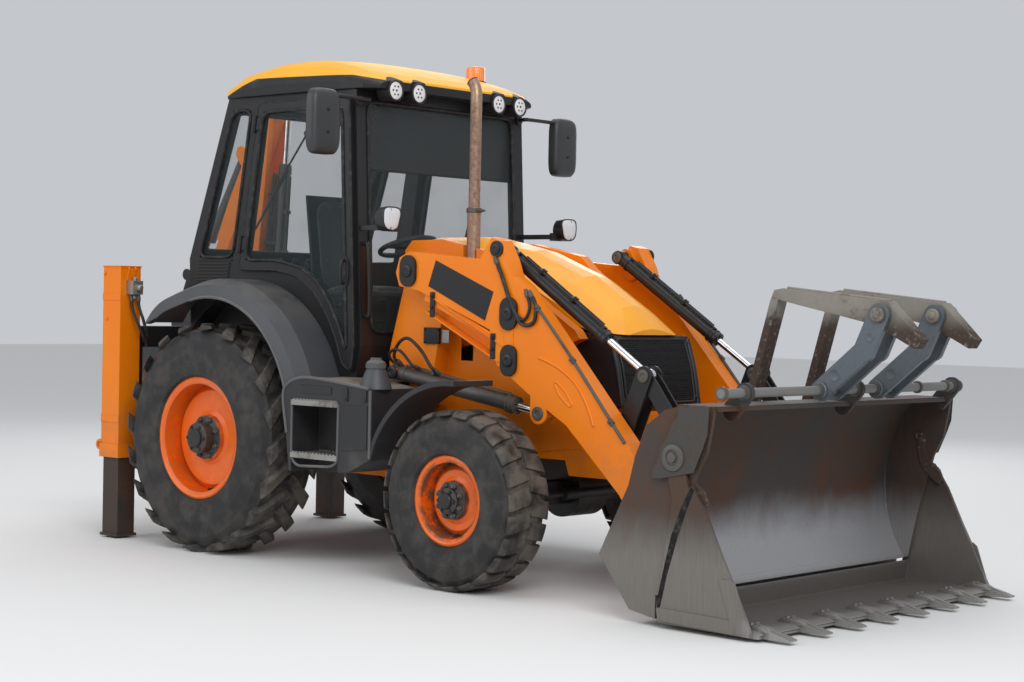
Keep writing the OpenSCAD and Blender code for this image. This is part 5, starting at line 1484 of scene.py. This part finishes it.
# %% Stabilizer fittings
bm, blocks, caps = fresh(), fresh(), fresh()
for side in (-1, 1):
    lathe(bm, at(-1069, side * 975, 608), (0, side, 0),
          [(0, 0.034), (0.055, 0.034), (0.055, 0.020), (0.040, 0.018),
                                                         (0.040, 0)], 36)
    plate(bm, [(-1047, 560), (-1047, 650), (-1069, 642), (-1069, 574)], side * 980, side * 1022)
    for x, z in ((-1030, 1735), (-1000, 1440)):
        bolt(bm, at(x, side * 1030, z), (0, side, 0), 0.010, 0.008)
    for y in (925, 975):
        tube(bm, [at(-866, side * y, 1690), at(-856, side * y, 1745), at(-846, side * y, 1766),
                  at(-852, side * y, 1776)],
             0.007, 8, 4)
    plate(caps, [(-1052, 1779), (-858, 1779), (-858, 1787), (-1052, 1787)], side * 866, side * 1034)
    for z in (1560, 760):
        plate(caps, [(-1050, z), (-860, z), (-860, z + 46), (-1050, z + 46)], side * 1028, side * 1033)
    plate(blocks, [(-862, 1600), (-790, 1600), (-790, 1690), (-862, 1690)], side * 905, side * 985)
    for x, z in ((-826, 1690), (-826, 1594)):
        lathe(blocks, at(x, side * 945, z), (0, 0, 1 if z > 1600 else -1),
              [(0, 0.016), (0.018, 0.016), (0.024, 0.010)], 6)
    lathe(blocks, at(-790, side * 945, 1645), (1, 0, 0), [(0, 0.02), (0.03, 0.02), (0.036, 0.013)], 20)
    word = "right" if side < 0 else "left"
    hose("stab_hose_" + word, [(-812, side * 925, 1598), (-806, side * 922, 1520), (-780, side * 905, 1430),
                               (-800, side * 860, 1330),
                               (-900, side * 800, 1300), (-1000, side * 760, 1310),
                               (-1048, side * 740, 1320)], "chassis")
    hose("stab_hose_low_" + word, [(-838, side * 965, 1598), (-822, side * 960, 1500),
                                   (-790, side * 925, 1380), (-812, side * 860, 1288),
                                   (-910, side * 790, 1268), (-1000, side * 730, 1280),
                                   (-1048, side * 710, 1290)], "chassis")
keep("stab_bosses", bm, ORANGE, "chassis", smooth=35)
keep("stab_valves", blocks, ALUMINIUM, "chassis", 0.002, 35)
keep("stab_caps", caps, ORANGE, "chassis", 0.0025)

# %% [markdown]
# ## Backhoe
# The boom and dipper carry steel pipes along their length, and four short hoses feed the boom's pipes
# at its foot. Pin heads and keeper bolts mark the joints, and the carriage has round clamps and
# large bolts that hold it to the rear frame.

# %% Pipes and hoses of the backhoe
def on_arm(p, q, s, off):
    """A place s millimetres from p towards q, and off to the left of that line."""
    run = (Vector(q) - Vector(p)).normalized()
    place = Vector(p) + run * s + Vector((-run.y, run.x)) * off
    return place.x, place.y


bm = fresh()
for k in range(4):
    y = HOE_Y + (k - 1.5) * 26
    path = [at(x, y, z) for x, z in ((-1440, 1300 + k * 6), (-1352, 1400), (-1280, 1620), (-1250, 1900),
                                     (-1192, 2380), (-1168, 2500 - k * 6))]
    tube(bm, path, 0.008, 10, 5)
for x, z in ((-1308, 1530), (-1240, 2000), (-1196, 2340)):
    plate(bm, [(x - 12, z - 14), (x + 16, z - 14), (x + 16, z + 14), (x - 12, z + 14)], 520, 640)
keep("boom_pipes", bm, CAST_GREY, "boom", 0.0, 40)
bm = fresh()
for k in range(2):
    y = HOE_Y + (k - 0.5) * 30
    ends = [on_arm(BOOM_HEAD, DIPPER_END, s, off) for s,
            off in ((150, -96), (300, -99), (620, -99), (640, -90))]
    tube(bm, [at(x, y, z) for x, z in ends], 0.008, 10, 5)
keep("dipper_pipes", bm, CAST_GREY, "dipper", 0.0, 40)
for k, y in enumerate((506, 530, 630, 654)):
    hose("boom_foot_hose_%d" % k, [(-1262, y, 1150 + k * 8), (-1330, y, 1250), (-1420, y, 1290),
                                   (-1445, HOE_Y + (k - 1.5) * 26, 1298)], "boom")
bm = fresh()
for side in (-1, 1):
    for x, z, r, face in ((*BOOM_FOOT, 0.046, 150), (*BOOM_RAM_FOOT, 0.042, 140)):
        pin_head(bm, x, z, HOE_Y + side * face, side, r)
        bolt(bm, at(x + 60, HOE_Y + side * 140, z + 10), (0, side, 0), 0.009, 0.007)
keep("kingpost_pins", bm, CAST_GREY, "kingpost", smooth=35)
bm = fresh()
for side in (-1, 1):
    for x, z, r, face in ((*BOOM_HEAD, 0.046, 104), (*BOOM_RAM_EYE, 0.038, 75),
                          (*DIPPER_RAM_FOOT, 0.038, 75)):
        pin_head(bm, x, z, HOE_Y + side * face, side, r)
        bolt(bm, at(x, HOE_Y + side * (face if face < 100 else 100), z - 62), (0, side, 0), 0.009, 0.007)
keep("boom_pins", bm, CAST_GREY, "boom", smooth=35)
bm = fresh()
for side in (-1, 1):
    pin_head(bm, *DIPPER_RAM_EYE, HOE_Y + side * 45, side, 0.040)
    pin_head(bm, -1911.3, 1707.2, HOE_Y + side * 104, side, 0.036)
keep("dipper_pins", bm, CAST_GREY, "dipper", smooth=35)
bm = fresh()
for y in (340, 820):
    lathe(bm, at(-1262, y, 1250), (-1, 0, 0), [(0, 0.034), (0.010, 0.034), (0.014, 0.026)], 24)
    lathe(bm, at(-1262, y, 600), (-1, 0, 0), [(0, 0.034), (0.010, 0.034), (0.014, 0.026)], 24)
    for z in (500, 700, 1150, 1350):
        bolt(bm, at(-1260.3, y, z), (-1, 0, 0), 0.018, 0.014)
keep("carriage_clamps", bm, CAST_GREY, "carriage", smooth=35)
print("backhoe done:", made_count)

# %% [markdown]
# ## Hood and nose
# A rubber strip runs below each edge of the hood, which has hinge blocks at the back and a round
# catch at the front. A fine wire mesh lies in front of the nose's slats and follows its sloping face,
# with a rounded border and a corner tube on each side.

# %% Hood strip, hinges and nose mesh
bm = fresh()
for side in (-1, 1):
    tube(bm, [at(1170, side * 367, 1786), at(1500, side * 367, 1756), at(1900, side * 367, 1646),
              at(2300, side * 364, 1506),
              at(2540, side * 347, 1448)], 0.005, 8, 6)
keep("hood_strip", bm, SEAL_RUBBER_AND_HOLE_SHADE, "hood", smooth=60)
bm = fresh()
for side in (-1, 1):
    plate(bm, [(1170, 1880), (1236, 1876), (1236, 1922), (1170, 1926)], side * 345, side * 379)
    pin_head(bm, 1200, 1900, side * 377, side, 0.018, 0.006)
lathe(bm, at(2600, 0, 1556), (0.62, 0, 0.78), [(-0.006, 0.026), (0.006, 0.026), (0.010, 0.018), (0.010, 0)],
      28)
keep("hood_hinges", bm, SATIN_BLACK, "hood", 0.002, 35)
wires = fresh()


def nose_face(y, z, proud):
    """A place on the grille's front, which bends at 1250 mm."""
    x = 2700 + (1420 - z) * 60 / 170 if z > 1250 else 2760 + (1250 - z) * 40 / 230
    return at(x + proud, y, z)


for k in range(53):
    tube(wires, [nose_face(-312 + k * 12, z, 3) for z in (1402, 1250, 1050)], 0.0022, 4, 1)
for k in range(30):
    tube(wires, [nose_face(y, 1050 + k * 12, 5) for y in (-312, 312)], 0.0022, 4, 1)
border = [nose_face(y, z, 4) for y,
          z in ((-316, 1046), (316, 1046), (316, 1250), (316, 1404), (-316, 1404), (-316, 1250))]
tube(wires, rounded_corners(border, 0.03), 0.007, 8, closed=True)
for side in (-1, 1):
    tube(wires, [nose_face(side * 352, z, -4) for z in (1404, 1300, 1200, 1030)], 0.018, 12, 4)
    for z in (1380, 1070):
        bolt(wires, nose_face(side * 333, z, 1), (1, 0, 0), 0.008, 0.006)
keep("nose_mesh", wires, TRIM_PLASTIC, "chassis", smooth=60)
print("nose done:", made_count)

# %% [markdown]
# ## The stage
# A pale floor under a pale sky, and four large soft lamps at a level where colours read true. The
# floor is a real surface so that the tyres cast shadows on it.

# %% Floor, lamps and world
def stage_material():
    b = Bench("stage", Roughness=0.9)
    b.set("Base Color", b.mix(b.noise(0.7, 2.0) * 0.2, (0.78, 0.78, 0.77), (0.74, 0.74, 0.73)))
    return b.material


mesh = bpy.data.meshes.new("floor")
half = 45.0
mesh.from_pydata([(-half, -half, 0), (half, -half, 0), (half, half, 0), (-half, half, 0)], [],
                 [(0, 1, 2, 3)])
floor = bpy.data.objects.new("floor", mesh)
floor.data.materials.append(stage_material())
bpy.context.scene.collection.objects.link(floor)

for name, spot, size, power in (
    ("key", (9.0, -7.0, 8.0), 6.0, 640.0),
    ("fill", (-5.0, -10.0, 6.0), 7.0, 260.0),
    ("top", (0.0, 1.0, 11.0), 9.0, 300.0),
    ("back", (-6.0, 9.0, 6.0), 6.0, 250.0),
):
    lamp = bpy.data.lights.new(name, "AREA")
    lamp.size, lamp.energy = size, power
    holder = bpy.data.objects.new(name, lamp)
    holder.location = spot
    holder.rotation_euler = (Vector((0, 0, 1.0)) - Vector(spot)).to_track_quat("-Z", "Y").to_euler()
    bpy.context.scene.collection.objects.link(holder)

world = bpy.data.worlds.new("world")
world.use_nodes = True
sky = world.node_tree.nodes["Background"]
sky.inputs["Color"].default_value = (0.92, 0.95, 1.0, 1.0)
sky.inputs["Strength"].default_value = 0.60
bpy.context.scene.world = world
bpy.context.scene.view_settings.view_transform = "Standard"
print("stage set")

# %% [markdown]
# ## Closing


print("dressing done")
